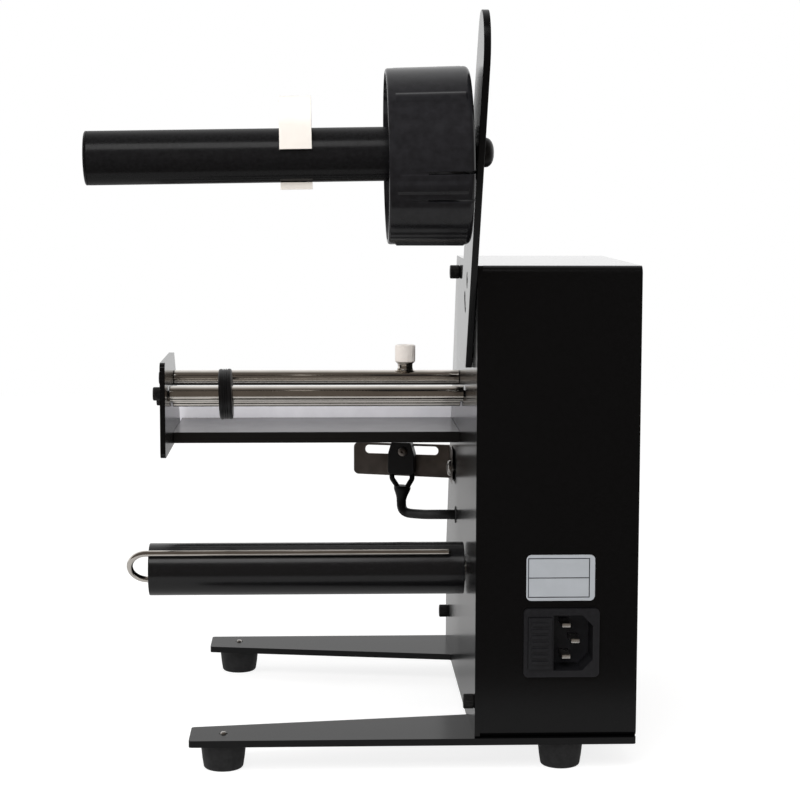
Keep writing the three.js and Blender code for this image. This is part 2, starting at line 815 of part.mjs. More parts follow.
function makeArm() {
  const lean = radians(armLean);
  const along = new THREE.Vector2(-Math.sin(lean), Math.cos(lean)); // up the arm, in (y, z)
  const across = new THREE.Vector2(along.y, -along.x); // from the near edge to the far edge
  const top = new THREE.Vector2(armTopNear, armTopUp);
  const nearTop = top.clone().addScaledVector(across, -armTopRadius);
  const downTo = (point, z) => point.clone().addScaledVector(along, (z - point.y) / along.y);
  const foot = stopPinUp - armTail;
  const nearFoot = downTo(nearTop, foot);
  const farFoot = downTo(nearTop.clone().addScaledVector(across, armWide), foot);
  const farWide = downTo(farFoot, panelHeight + armWideRise);
  const toWide = farWide.clone().sub(top);
  const tangent = toWide.angle() + Math.acos(armTopRadius / toWide.length());
  const shape = new THREE.Shape();
  shape.moveTo(nearFoot.x, nearFoot.y);
  shape.lineTo(farFoot.x, farFoot.y);
  shape.lineTo(farWide.x, farWide.y);
  shape.absarc(top.x, top.y, armTopRadius, tangent, across.clone().negate().angle(), false);
  shape.closePath();
  const bar = slab("x", shape, -armThickness, armThickness - slipGap, 16);
  const pivot = [0, armPivotIn, pivotUp];
  const reach = Math.hypot(stopPinIn - armPivotIn, stopPinUp - pivotUp);
  const middle = Math.atan2(stopPinUp - pivotUp, stopPinIn - armPivotIn);
  const swing = radians(armSwing) + slipGap / reach;
  const slotShape = new THREE.Shape();
  const end = (angle) => [armPivotIn + reach * Math.cos(angle), pivotUp + reach * Math.sin(angle)];
  const [start, stop] = [middle - swing, middle + swing];
  slotShape.absarc(armPivotIn, pivotUp, reach + stopSlotRadius, start, stop, false);
  slotShape.absarc(...end(stop), stopSlotRadius, stop, stop + Math.PI, false);
  slotShape.absarc(armPivotIn, pivotUp, reach - stopSlotRadius, stop, start, true);
  slotShape.absarc(...end(start), stopSlotRadius, start + Math.PI, start + 2 * Math.PI, false);
  const arm = cut(
    bar,
    slab("x", slotShape, -armThickness - overrun, armThickness + 2 * overrun),
    hole("x", pivot, -armThickness, armThickness, armPivotRadius + runningGap, 20),
    turned("x", [-armThickness, ...pivot.slice(1)], [
      [-overrun, 0],
      [-overrun, armPivotHeadRadius + runningGap],
      [0, armPivotHeadRadius + runningGap],
      [armPivotHeadDepth, armPivotRadius + runningGap],
      [armPivotHeadDepth, 0],
    ], 20),
    hole("x", [0, shaftIn, shaftUp], -armThickness, armThickness, boltRadius + runningGap),
  );
  place(machine, "supply_arm", arm, coat);

  const screw = turned("x", [-armThickness, ...pivot.slice(1)], [
    [slipGap, 0],
    [slipGap, armPivotHeadRadius],
    [armPivotHeadDepth, armPivotRadius],
    [armThickness + armPivotLength, armPivotRadius],
    [armThickness + armPivotLength, 0],
  ], 20);
  const mouth = [-armThickness, ...pivot.slice(1)];
  const socket = cylinder("x", mouth, -overrun, armPivotHeadDepth, capSocketRadius, 6);
  place(machine, "arm_pivot_screw", cut(screw, socket), blackSteel);
  const pinStart = slipGap - armThickness;
  const pinAxis = [0, stopPinIn, stopPinUp];
  const pin = cylinder("x", pinAxis, pinStart, panelThickness - pinStart, stopPinRadius, 16);
  place(machine, "arm_stop_pin", pin, blackSteel);
}

// Supply shaft, hub and roll stop: x runs from the arm's face (0) out to the shaft's free end (negative).
const shaftFrame = new THREE.Group();
shaftFrame.position.set(-armThickness, shaftIn, shaftUp);
shaftFrame.rotation.y = -radians(shaftDroop);
machine.add(shaftFrame);
const centre = [0, 0, 0];

function makeShaft() {
  const end = -shaftLength;
  const inner = shaftRadius - shaftWall;
  const bore = boltRadius + runningGap;
  const shaft = turned("x", centre, [
    [-runningGap, bore],
    [-runningGap, shaftRadius],
    [end, shaftRadius],
    [end, inner],
    [-shaftPlug, inner],
    [-shaftPlug, bore],
  ], 28);
  place(shaftFrame, "supply_shaft", shaft, coat);
  const spigot = inner - slipGap;
  const cap = turned("x", centre, [
    [end + endCapSpigot, spigot],
    [end + endCapSpigot, spigot - shaftWall],
    [end, spigot - shaftWall],
    [end, 0],
    [end - endCapFlange, 0],
    [end - endCapFlange, shaftRadius - endCapFlange / 3],
    [end - endCapFlange / 2, shaftRadius],
    [end - slipGap / 2, shaftRadius],
    [end - slipGap / 2, spigot],
  ].reverse(), 28);
  place(shaftFrame, "shaft_end_cap", cap, plastic);
  const head = armThickness + runningGap;
  const bolt = turned("x", centre, [
    [-boltLength, 0],
    [-boltLength, boltRadius],
    [head, boltRadius],
    [head, boltHeadRadius],
    [head + boltHeadHeight / 3, boltHeadRadius],
    [head + (2 * boltHeadHeight) / 3, (3 * boltHeadRadius) / 4],
    [head + boltHeadHeight, boltHeadRadius / 3],
    [head + boltHeadHeight, 0],
  ], 20);
  place(shaftFrame, "supply_bolt", bolt, blackSteel);
}

function makeHub() {
  const axis = [0, 0, -hubHang];
  const right = -hubStart;
  const left = right - hubLength;
  const web = -hubWebStart;
  const bossRight = -hubBossStart;
  const bore = shaftRadius + hubHang + runningGap;
  const inner = (hubOuterRadius + hubOpenRadius) / 2 - hubWall;
  const body = turned("x", axis, [
    [left, hubOpenRadius],
    [right - hubChamfer, hubOuterRadius],
    [right, hubOuterRadius - hubChamfer],
    [right, inner],
    [web, inner],
    [web, hubBossRadius],
    [bossRight, hubBossRadius],
    [bossRight, bore],
    [bossRight - hubBossLength, bore],
    [bossRight - hubBossLength, hubBossRadius],
    [web - hubWebThickness, hubBossRadius],
    [web - hubWebThickness, inner],
    [left, inner],
  ], hubSides);
  const turn = (solid, degreesUp) =>
    solid.rotate([90 - degreesUp, 0, 0]).translate([0, 0, -hubHang]);
  const [ribLeft, ribRight] = [left + hubRibEnds, right - hubRibEnds];
  const ribShape = outline([
    [ribLeft, inner + hubWall / 2],
    [ribRight, inner + hubWall / 2],
    [ribRight, hubOuterRadius + hubRibHeight],
    [ribLeft, hubOpenRadius + hubRibHeight],
  ]);
  const rib = slab("y", ribShape, -hubRibWidth / 2, hubRibWidth);
  const slot = block(
    [web, right + overrun],
    [-fingerSlot / 2, fingerSlot / 2],
    [inner - overrun, hubOuterRadius + overrun],
  );
  const angles = Array.from({ length: hubRibs }, (_, i) => hubFirstRib + (360 / hubRibs) * i);
  const fingers = angles.filter((_, i) => i % 2 === 0);
  const slots = fingers.flatMap((angle) => [
    turn(slot, angle - fingerHalfAngle),
    turn(slot, angle + fingerHalfAngle),
  ]);
  const hub = cut(join(body, ...angles.map((angle) => turn(rib, angle))), ...slots);
  place(shaftFrame, "core_hub", hub, plastic);
}

function makeRollStop() {
  const inner = shaftRadius + runningGap;
  const outer = inner + clipThickness;
  const loopUp = clipTop - outer;
  const lipBack = clipThickness - clipLipFront;
  const lipAngle = Math.atan2(-Math.sqrt(inner ** 2 - clipLipFront ** 2), -clipLipFront);
  const shape = new THREE.Shape();
  shape.moveTo(-outer, clipLegBottom);
  shape.absarc(0, loopUp, outer, Math.PI, 0, true);
  shape.absarc(0, 0, outer, 0, -Math.PI / 2, true);
  shape.lineTo(lipBack, -outer);
  shape.lineTo(lipBack, -clipLipDrop);
  shape.lineTo(-clipLipFront, -clipLipDrop);
  shape.absarc(0, 0, inner, lipAngle, 0, false);
  shape.absarc(0, loopUp, inner, 0, Math.PI, false);
  shape.lineTo(-inner, clipLegBottom);
  shape.closePath();
  const clip = slab("x", shape, -clipStart - clipWidth, clipWidth, 14);
  place(shaftFrame, "roll_stop_clip", clip, spring);
}

// Label table, side plate and chrome rods

const tableUp = tableBottom + tableThickness / 2;
const tableScrews = [
  ["near", tableScrewNear],
  ["far", tableScrewFar],
];
const rodEnds = [
  ["bar", barIn, barUp],
  ["upper", upperRollerIn, upperRollerUp],
  ["lower", lowerRollerIn, lowerRollerUp],
];

function makeTable() {
  const table = block([-tableSpan, 0], [tableNear, tableFar], [tableBottom, tableBottom + tableThickness]);
  const tapped = pivotRadius + runningGap;
  const holes = tableScrews.map(([, y]) =>
    cylinder("x", [-tableSpan, y, tableUp], -overrun, tableScrewReach + 2 * overrun, tapped, 12),
  );
  place(machine, "table_plate", cut(table, ...holes), coat);
  const peel = block(
    [-tableSpan - peelPast, 0],
    [tableFar, tableFar + peelThickness],
    [tableBottom, tableBottom + peelHeight],
  );
  place(machine, "peel_plate", peel, steel);
}

function makeSidePlate() {
  const corners = [
    [sideNear, tableBottom - sideDrop],
    [sideFar, tableBottom - sideDrop],
    [sideFar, tableBottom + sideFarRise],
    [sideTopFar, tableBottom + sideRise],
    [sideNear, tableBottom + sideRise],
  ];
  const radii = [sideCorner, sideCorner / 2, sideCorner / 2, sideCorner, sideCorner];
  const left = -tableSpan - sideThickness;
  const plate = slab("x", outline(corners.map((corner, i) => [...corner, radii[i]])), left, sideThickness);
  const places = [...rodEnds.map(([, y, z]) => [y, z]), ...tableScrews.map(([, y]) => [y, tableUp])];
  const holes = places.map(([y, z]) =>
    hole("x", [left, y, z], 0, sideThickness, pivotRadius + runningGap, 12),
  );
  place(machine, "side_plate", cut(plate, ...holes), coat);
  for (const [name, y, z] of rodEnds) {
    const length = sideThickness + pivotReach;
    const screw = capScrew([left, y, z], sideHeadRadius, sideHeadHeight, pivotRadius, length, 16);
    place(machine, `side_screw_${name}`, screw, blackSteel);
  }
  for (const [name, y] of tableScrews) {
    const length = sideThickness + tableScrewReach;
    const screw = capScrew([left, y, tableUp], tableHeadRadius, sideHeadHeight, pivotRadius, length, 16);
    place(machine, `table_screw_${name}`, screw, blackSteel);
  }
}

// A roller bored at both ends for the screw and the stud that it turns on.
function rollerSolid(y, z) {
  const left = rollerEndGap - tableSpan;
  const right = -rollerEndGap;
  const bore = pivotRadius + runningGap;
  const depth = pivotReach + overrun;
  const body = cylinder("x", [0, y, z], left, right - left, rodRadius, 20);
  const leftBore = cylinder("x", [0, y, z], left - overrun, depth + overrun, bore, 12);
  const rightBore = cylinder("x", [0, y, z], right - depth, depth + overrun, bore, 12);
  return cut(body, leftBore, rightBore);
}

function makeRods() {
  const axis = [0, barIn, barUp];
  const bar = cylinder("x", axis, -tableSpan, tableSpan, rodRadius, 20);
  const stud = cylinder("x", axis, -overrun, overrun + panelThickness + barStud, pivotRadius, 12);
  const bore = pivotRadius + runningGap;
  const tapped = cylinder("x", axis, -tableSpan - overrun, pivotReach + 2 * overrun, bore, 12);
  const across = [-thumbAlong, barIn, barUp];
  const bottom = rodRadius - thumbReach - slipGap;
  const crossHole = cylinder("z", across, bottom, 2 * rodRadius, bore, 12);
  place(machine, "tie_bar", cut(join(bar, stud), tapped, crossHole), chrome);
  place(machine, "upper_roller", rollerSolid(upperRollerIn, upperRollerUp), chrome);
  place(machine, "lower_roller", rollerSolid(lowerRollerIn, lowerRollerUp), chrome);
}

function makeThumbScrew() {
  const seat = rodRadius + slipGap;
  const top = seat + thumbShoulderHeight + thumbHeight;
  const edge = thumbRadius / 10;
  const body = turned("z", [-thumbAlong, barIn, barUp], [
    [rodRadius - thumbReach, 0],
    [rodRadius - thumbReach, pivotRadius],
    [seat, pivotRadius],
    [seat, thumbShoulderRadius],
    [seat + thumbShoulderHeight, thumbShoulderRadius],
    [seat + thumbShoulderHeight, thumbRadius - edge],
    [seat + thumbShoulderHeight + edge, thumbRadius],
    [top - edge, thumbRadius],
    [top, thumbRadius - edge],
    [top, 0],
  ], thumbFlutes * 2);
  const flute = (i) => {
    const angle = (2 * Math.PI * (i + 1 / 4)) / thumbFlutes;
    const [x, y] = [-thumbAlong + thumbRadius * Math.cos(angle), barIn + thumbRadius * Math.sin(angle)];
    return cylinder("z", [x, y, barUp], seat + thumbShoulderHeight + edge, thumbHeight - 2 * edge, edge, 4);
  };
  const flutes = Array.from({ length: thumbFlutes }, (_, i) => flute(i));
  place(machine, "thumb_screw", cut(body, ...flutes), chrome);
}

function makeGuideRing() {
  const bore = rodRadius + runningGap;
  const hang = runningGap / 2;
  const half = ringWidth / 2;
  const edge = ringWidth / 10;
  const ring = turned("x", [-ringAlong, upperRollerIn, upperRollerUp - hang], [
    [-half, bore + slipGap],
    [-half, ringRadius - edge],
    [edge - half, ringRadius],
    [half - edge, ringRadius],
    [half, ringRadius - edge],
    [half, bore + slipGap],
  ], 32);
  place(machine, "guide_ring", ring, plastic);
}

// Sensor bracket, sensor and lead

const lean = radians(bracketLean);
// The slotted plate's frame: its near face is y = 0, and x runs back to the bend.
const plateFrame = new THREE.Matrix4().makeRotationZ(-lean).setPosition(0, bracketBend, 0);
const slotUp = bracketTop - slotDown;

function makeBracket() {
  const near = bracketBend - bracketFlange;
  const far = bracketBend + bracketThickness;
  const alongX = -bracketReach * Math.cos(lean);
  const alongY = bracketReach * Math.sin(lean);
  const [thickX, thickY] = [bracketThickness * Math.sin(lean), bracketThickness * Math.cos(lean)];
  const angle = [
    [0, near],
    [0, far, bracketThickness],
    [alongX + thickX, bracketBend + alongY + thickY],
    [alongX, bracketBend + alongY],
    [-bracketThickness, bracketBend + (bracketThickness * alongY) / -alongX],
    [-bracketThickness, near],
  ];
  const strip = slab("z", outline(angle), bracketBottom, bracketHeight);
  const face = outline([
    [alongX - overrun, bracketBottom - overrun],
    [overrun, bracketBottom - overrun],
    [overrun, bracketTop + overrun],
    [alongX - overrun, bracketTop + overrun],
  ]);
  face.holes.push(
    outline([
      [alongX, bracketBottom + bracketTaper, bracketCorner],
      [-bracketThickness, bracketBottom],
      [overrun / 2, bracketBottom],
      [overrun / 2, bracketTop],
      [alongX, bracketTop, bracketCorner],
    ]),
  );
  const depth = far + alongY - near + 2 * overrun;
  const frameCut = slab("y", face, near - overrun, depth);
  const [slotLeft, slotRight] = [-slotStart - slotLength, -slotStart];
  const slot = slab(
    "y",
    outline([
      [slotLeft, slotUp - slotHeight / 2, slotHeight / 2 - slotHeight / 50],
      [slotRight, slotUp - slotHeight / 2, slotHeight / 2 - slotHeight / 50],
      [slotRight, slotUp + slotHeight / 2, slotHeight / 2 - slotHeight / 50],
      [slotLeft, slotUp + slotHeight / 2, slotHeight / 2 - slotHeight / 50],
    ]),
    -overrun,
    bracketThickness + 2 * overrun,
  ).transform(plateFrame.elements);
  const screwHole = hole("x", bracketScrewAt, -bracketThickness, bracketThickness, sensorScrewRadius + runningGap);
  place(machine, "sensor_bracket", cut(strip, frameCut, slot, screwHole), steel);
  const tip = panelThickness + overrun;
  const screw = turned("x", bracketScrewAt, [
    [-bracketThickness - bracketHeadHeight, 0],
    [-bracketThickness - bracketHeadHeight, bracketHeadRadius / 2],
    [-bracketThickness - bracketHeadHeight / 2, (bracketHeadRadius * 9) / 10],
    [-bracketThickness, bracketHeadRadius],
    [-bracketThickness, sensorScrewRadius],
    [tip, sensorScrewRadius],
    [tip, 0],
  ], 16);
  place(machine, "bracket_screw", screw, steel);
}

// The sensor's frame: x along the slotted plate with 0 at the screw, y = 0 on the plate's near face,
// z = 0 at the slot's centre line.
const sensorFrame = new THREE.Group();
sensorFrame.position.set(
  -sensorAlong * Math.cos(lean),
  bracketBend + sensorAlong * Math.sin(lean),
  slotUp,
);
sensorFrame.rotation.z = -lean;
machine.add(sensorFrame);

function makeSensor() {
  const left = -sensorOffset - sensorWidth / 2;
  const right = left + sensorWidth;
  const bottom = sensorAboveSlot - sensorHeight;
  const body = slab(
    "y",
    outline([
      [left, bottom + sensorBottomTaper],
      [left + sensorBottomTaper, bottom],
      [right - sensorBottomTaper, bottom],
      [right, bottom + sensorBottomTaper],
      [right, sensorAboveSlot - sensorTopTaperHeight],
      [right - sensorTopTaper, sensorAboveSlot],
      [left + sensorTopTaper, sensorAboveSlot],
      [left, sensorAboveSlot - sensorTopTaperHeight],
    ]),
    -runningGap - sensorDepth,
    sensorDepth,
  );
  const front = -runningGap - sensorDepth;
  const screwHole = hole("y", centre, front, sensorDepth, sensorScrewRadius + runningGap, 12);
  place(sensorFrame, "sensor_body", cut(body, screwHole), plastic);
  const nutStart = bracketThickness + runningGap;
  const nutEnd = nutStart + sensorNutHeight;
  const headBack = front - runningGap / 2;
  const screw = turned("y", centre, [
    [headBack - sensorHeadHeight, 0],
    [headBack - sensorHeadHeight, sensorHeadRadius / 2],
    [headBack - sensorHeadHeight / 2, (sensorHeadRadius * 9) / 10],
    [headBack, sensorHeadRadius],
    [headBack, sensorScrewRadius],
    [nutEnd + runningGap, sensorScrewRadius],
    [nutEnd + runningGap, 0],
  ], 12);
  place(sensorFrame, "sensor_screw", screw, steel);
  const nut = cut(
    cylinder("y", centre, nutStart, sensorNutHeight, sensorNutRadius, 6),
    hole("y", centre, nutStart, sensorNutHeight, sensorScrewRadius + slipGap, 12),
  );
  place(sensorFrame, "sensor_nut", nut, steel);
}

function makeCable() {
  // The lead's route from its sleeve to the control board, chosen by hand.
  const route = [
    [-25.6, 157, 80.5],
    [-25.6, 156.8, 79],
    [-25.5, 156.4, 77.3],
    [-24.9, 155.6, 75.6],
    [-23.5, 154.3, 74.5],
    [-21.4, 152.3, 74.2],
    [-18.6, 148, 74.6],
    [-14.5, 141.5, 75.4],
    [-10, 134, 76.6],
    [-6.3, 128.6, 77.5],
    [-3, 125.5, 78],
    [-1, 125, 78],
    [8.9, 125, 78],
  ].map((point) => new THREE.Vector3(...point));
  const sleeve = turned("z", [-sleeveAlong, sleeveIn, 0], [
    [sleeveBottom, 0],
    [sleeveBottom, cableRadius],
    [sleeveTop - leadRadius / 2, sleeveTopRadius],
    [sleeveTop, sleeveTopRadius - leadRadius / 2],
    [sleeveTop, 0],
  ], 12);
  const tops = [-1, 1].map((side) =>
    new THREE.Vector3(
      side * (sensorWidth / 2 - leadInset) - sensorOffset,
      -runningGap - sensorDepth / 2,
      sensorAboveSlot - sensorHeight - runningGap,
    ).applyMatrix4(sensorFrame.matrixWorld),
  );
  const leads = tops.map((top, i) => {
    const side = 2 * i - 1;
    const into = sleeveTop - sleeveTopRadius / 2;
    const seat = new THREE.Vector3((side * leadSpread) / 2 - sleeveAlong, sleeveIn, into);
    const shoulder = new THREE.Vector3(
      side * leadSpread - sleeveAlong,
      sleeveIn,
      sleeveTop + leadRadius / 2,
    );
    const below = top.clone().addScaledVector(zAxis, -leadRadius);
    return tube([top, below, shoulder, seat], leadRadius);
  });
  place(machine, "sensor_cable", join(tube(route, cableRadius), sleeve, ...leads), rubber);
  const bore = cableRadius + slipGap;
  const lip = panelThickness + grommetLip;
  const grommet = turned("x", [0, grommetIn, grommetUp], [
    [-grommetLip, bore],
    [-grommetLip, grommetRadius],
    [0, grommetRadius],
    [0, grommetRadius - grommetWaist],
    [panelThickness, grommetRadius - grommetWaist],
    [panelThickness, grommetRadius],
    [lip, grommetRadius],
    [lip, bore],
  ], 20);
  place(machine, "cable_grommet", grommet, rubber);
}

// Take-up roller, wire clip and drive

const takeUpAxis = [0, takeUpIn, takeUpUp];

function makeTakeUp() {
  const right = -takeUpGap;
  const left = right - takeUpLength;
  const bore = driveRadius + runningGap;
  const roller = turned("x", takeUpAxis, [
    [left, takeUpBore],
    [left, takeUpRadius],
    [right, takeUpRadius],
    [right, bore],
    [right - takeUpPlug, bore],
    [right - takeUpPlug, takeUpBore],
  ], 32);
  place(machine, "take_up_roller", roller, coat);
  const shaftStart = right - driveInHub;
  const shaft = cylinder("x", takeUpAxis, shaftStart, driveInGearbox - shaftStart, driveRadius, 16);
  place(machine, "drive_shaft", shaft, steel);
}

function makeWireClip() {
  const seat = takeUpRadius + wireRadius + runningGap;
  const up = radians(wireOuterAngle);
  const outer = new THREE.Vector3(0, takeUpIn - seat * Math.cos(up), takeUpUp + seat * Math.sin(up));
  const inner = new THREE.Vector3(0, takeUpIn - wireInnerOut, takeUpUp - wireInnerDown);
  const radius = outer.distanceTo(inner) / 2;
  const middle = outer.clone().lerp(inner, 1 / 2);
  const toOuter = outer.clone().sub(inner).normalize();
  const bendAt = wireRadius + radius - wireLoopLeft;
  const bend = Array.from({ length: 11 }, (_, i) => {
    const angle = (Math.PI * i) / 10;
    const point = middle.clone().addScaledVector(toOuter, radius * Math.cos(angle));
    return point.setX(bendAt - radius * Math.sin(angle));
  });
  const stations = [outer.clone().setX(-wireRight), ...bend, inner.clone().setX(-wireInnerEnd)];
  place(machine, "wire_clip", tube(stations, wireRadius), chrome);
}

function makeDrive() {
  const start = panelThickness;
  const end = start + gearboxLength;
  const bore = driveRadius + runningGap;
  const gearbox = turned("x", takeUpAxis, [
    [0, bore],
    [0, gearboxBoss],
    [start, gearboxBoss],
    [start, gearboxRadius],
    [end, gearboxRadius],
    [end, 0],
    [driveInGearbox + slipGap, 0],
    [driveInGearbox + slipGap, bore],
    [0, bore],
  ], 28);
  place(machine, "gearbox", gearbox, steel);
  const motorEnd = end + motorLength;
  const motor = turned("x", takeUpAxis, [
    [end, 0],
    [end, motorRadius],
    [motorEnd, motorRadius],
    [motorEnd, motorRadius / 3],
    [motorEnd + motorTail, motorRadius / 3],
    [motorEnd + motorTail, 0],
  ], 28);
  place(machine, "motor", motor, blackSteel);
}

// Power supply and control board

function makeElectrics() {
  const left = panelThickness + supplyFromPanel;
  const supply = slab(
    "z",
    outline([
      [left, supplyNear, supplyCorner],
      [left + supplyWidth, supplyNear, supplyCorner],
      [left + supplyWidth, supplyNear + supplyDepth, supplyCorner],
      [left, supplyNear + supplyDepth, supplyCorner],
    ]),
    cabinetWall,
    supplyHeight,
  );
  place(machine, "power_supply", supply, steel);

  const face = panelThickness + boardStandoff;
  const [yEnd, zEnd] = [boardNear + boardDepth, boardBottom + boardHeight];
  const sheet = block([face, face + boardThickness], [boardNear, yEnd], [boardBottom, zEnd]);
  const standoffs = [boardNear + boardEdge, yEnd - boardEdge].flatMap((y) =>
    [boardBottom + boardEdge, zEnd - boardEdge].map((z) =>
      cylinder("x", [0, y, z], panelThickness, boardStandoff + boardThickness, standoffRadius, 8),
    ),
  );
  const connector = block(
    [face - connectorHeight, face],
    [grommetIn - connectorSize / 2, grommetIn + connectorSize / 2],
    [grommetUp - connectorSize / 2, grommetUp + connectorSize / 2],
  );
  const chip = block(
    [face + boardThickness, face + boardThickness + chipHeight],
    [boardNear + boardDepth / 4, boardNear + boardDepth / 2],
    [boardBottom + boardHeight / 2, boardBottom + (3 * boardHeight) / 4],
  );
  const back = face + boardThickness;
  const capacitorAt = [back, boardNear + (3 * boardDepth) / 4, boardBottom + boardHeight / 3];
  const capacitor = cylinder("x", capacitorAt, 0, chipHeight, connectorSize / 2, 12);
  place(machine, "control_board", join(sheet, ...standoffs, connector, chip, capacitor), board);
}

// Switch and speed control on the slanted front

function slantGroup(along) {
  const group = new THREE.Group();
  group.position.copy(onSlant(along));
  group.rotation.x = -slantAngle;
  machine.add(group);
  return group;
}

function makeSwitch() {
  const group = slantGroup(switchAlong);
  const [halfWidth, halfLength] = [switchWidth / 2, switchLength / 2];
  const lift = runningGap;
  const bezel = block([-halfWidth, halfWidth], [-halfLength, halfLength], [lift, lift + switchBezel]);
  const body = block(
    [switchRim - halfWidth, halfWidth - switchRim],
    [switchRim - halfLength, halfLength - switchRim],
    [-switchDepth, lift],
  );
  const reach = rockerRadius + runningGap;
  const pocket = block(
    [-rockerWidth / 2 - slipGap, rockerWidth / 2 + slipGap],
    [-reach, reach],
    [-rockerDrop - reach, lift + switchBezel + overrun],
  );
  place(group, "switch_body", cut(join(bezel, body), pocket), plastic);
  const rim = radians(rockerRimAngle);
  const shape = new THREE.Shape();
  shape.moveTo(0, rockerDip);
  shape.absarc(0, 0, rockerRadius, Math.PI - rim, 2 * Math.PI + rim, false);
  shape.closePath();
  const rocker = slab("x", shape, -rockerWidth / 2, rockerWidth, 20)
    .rotate([-rockerTilt, 0, 0])
    .translate([0, 0, -rockerDrop]);
  place(group, "switch_rocker", rocker, plastic);
}

function makeSpeedControl() {
  const group = slantGroup(knobAlong);
  const back = -cabinetWall - runningGap;
  const bore = knobStemRadius + runningGap;
  const control = turned("z", centre, [
    [back - controlDepth, 0],
    [back - controlDepth, controlRadius],
    [back, controlRadius],
    [back, controlBushRadius],
    [controlBush, controlBushRadius],
    [controlBush, bore],
    [back - controlDepth / 2, bore],
    [back - controlDepth / 2, 0],
  ], 24);
  place(group, "speed_control", control, steel);
  const bottom = knobLift;
  const top = bottom + knobHeight;
  const skirt = controlBushRadius + runningGap;
  const knob = turned("z", centre, [
    [bottom, skirt],
    [bottom, knobRadius],
    [top - knobHeight / 8, knobTopRadius],
    [top, knobTopRadius - knobHeight / 12],
    [top, 0],
    [back - controlDepth / 2 + runningGap, 0],
    [back - controlDepth / 2 + runningGap, knobStemRadius],
    [controlBush + runningGap, knobStemRadius],
    [controlBush + runningGap, skirt],
    [bottom, skirt],
  ], 24);
  const pointer = block(
    [-knobPointerWidth / 2, knobPointerWidth / 2],
    [-knobRadius - overrun, -knobTopRadius / 3],
    [top - knobPointerDepth, top + overrun],
  );
  place(group, "speed_knob", cut(knob, pointer), plastic);
}

makeBasePlate();
makeFeet();
makePanel();
makeCabinet();
makeRatingPlate();
makeInlet();
makeFuseDrawer();
makeArm();
makeShaft();
makeHub();
makeRollStop();
makeTable();
makeSidePlate();
makeRods();
makeThumbScrew();
makeGuideRing();
makeBracket();
makeSensor();
machine.updateMatrixWorld(true);
makeCable();
makeTakeUp();
makeWireClip();
makeDrive();
makeElectrics();
makeSwitch();
makeSpeedControl();

// Centre the machine on its footprint, with the feet on Z = 0.
machine.updateMatrixWorld(true);
const extent = new THREE.Box3().setFromObject(machine, true);
const middle = extent.getCenter(new THREE.Vector3());
machine.position.set(-middle.x, -middle.y, -extent.min.z);
const dispenser = new THREE.Group();
dispenser.add(machine);

export default dispenser;
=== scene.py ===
"""Dresses the label dispenser machine: finishes for its sheet metal, finer meshes for its round parts."""

import json
import math

import bmesh
import bpy
from bpy.props import FloatProperty, FloatVectorProperty, IntProperty, PointerProperty
from bpy.types import Operator, Panel, PropertyGroup
from mathutils import Matrix, Vector

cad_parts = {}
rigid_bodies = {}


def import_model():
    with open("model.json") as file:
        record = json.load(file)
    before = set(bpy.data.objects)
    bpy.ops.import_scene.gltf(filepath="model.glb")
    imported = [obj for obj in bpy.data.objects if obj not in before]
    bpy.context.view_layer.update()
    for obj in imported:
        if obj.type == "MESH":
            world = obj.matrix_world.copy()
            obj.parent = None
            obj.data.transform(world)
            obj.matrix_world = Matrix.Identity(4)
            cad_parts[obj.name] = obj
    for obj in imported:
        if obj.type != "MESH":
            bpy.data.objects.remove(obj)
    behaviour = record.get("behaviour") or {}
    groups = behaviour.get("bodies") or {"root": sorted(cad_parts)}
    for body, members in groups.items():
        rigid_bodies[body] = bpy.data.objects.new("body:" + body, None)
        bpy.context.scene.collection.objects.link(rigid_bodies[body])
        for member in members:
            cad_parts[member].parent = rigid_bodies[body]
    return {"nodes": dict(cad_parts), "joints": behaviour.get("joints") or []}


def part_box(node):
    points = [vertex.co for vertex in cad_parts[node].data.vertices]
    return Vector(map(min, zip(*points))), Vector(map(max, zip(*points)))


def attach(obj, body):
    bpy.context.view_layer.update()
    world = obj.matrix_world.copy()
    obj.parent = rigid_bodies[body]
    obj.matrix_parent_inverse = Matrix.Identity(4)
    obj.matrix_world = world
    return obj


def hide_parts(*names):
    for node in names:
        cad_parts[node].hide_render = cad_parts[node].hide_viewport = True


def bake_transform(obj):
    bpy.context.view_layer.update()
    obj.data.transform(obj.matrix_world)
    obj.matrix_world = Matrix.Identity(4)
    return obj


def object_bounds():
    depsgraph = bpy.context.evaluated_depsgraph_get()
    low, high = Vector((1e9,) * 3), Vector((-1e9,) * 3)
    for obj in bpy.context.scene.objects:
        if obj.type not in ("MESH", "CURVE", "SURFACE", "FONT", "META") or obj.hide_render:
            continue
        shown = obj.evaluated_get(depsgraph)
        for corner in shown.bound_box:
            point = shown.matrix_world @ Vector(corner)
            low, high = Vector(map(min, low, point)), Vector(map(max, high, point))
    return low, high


bl_info = {
    "name": "Label dispenser dressing",
    "version": (1, 0, 0),
    "blender": (4, 5, 0),
    "location": "View3D > Sidebar > Dispenser",
    "description": "Finishes and fine meshes for a label dispenser machine",
    "category": "Object",
}

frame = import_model()
nodes = frame["nodes"]
cad_low, cad_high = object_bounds()

MM = 0.001
X = Vector((1, 0, 0))
Y = Vector((0, 1, 0))
Z = Vector((0, 0, 1))


# Places in the frame


def low(node):
    return Vector(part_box(node)[0])


def high(node):
    return Vector(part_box(node)[1])


def middle(node):
    return (low(node) + high(node)) / 2


# The corner where the panel's roller side, its near edge and the base plate's top meet
panel_corner = Vector((high("table_plate").x, low("main_panel").y, high("base_plate").z))


def joint(name):
    return next(j for j in frame["joints"] if j["name"] == name)


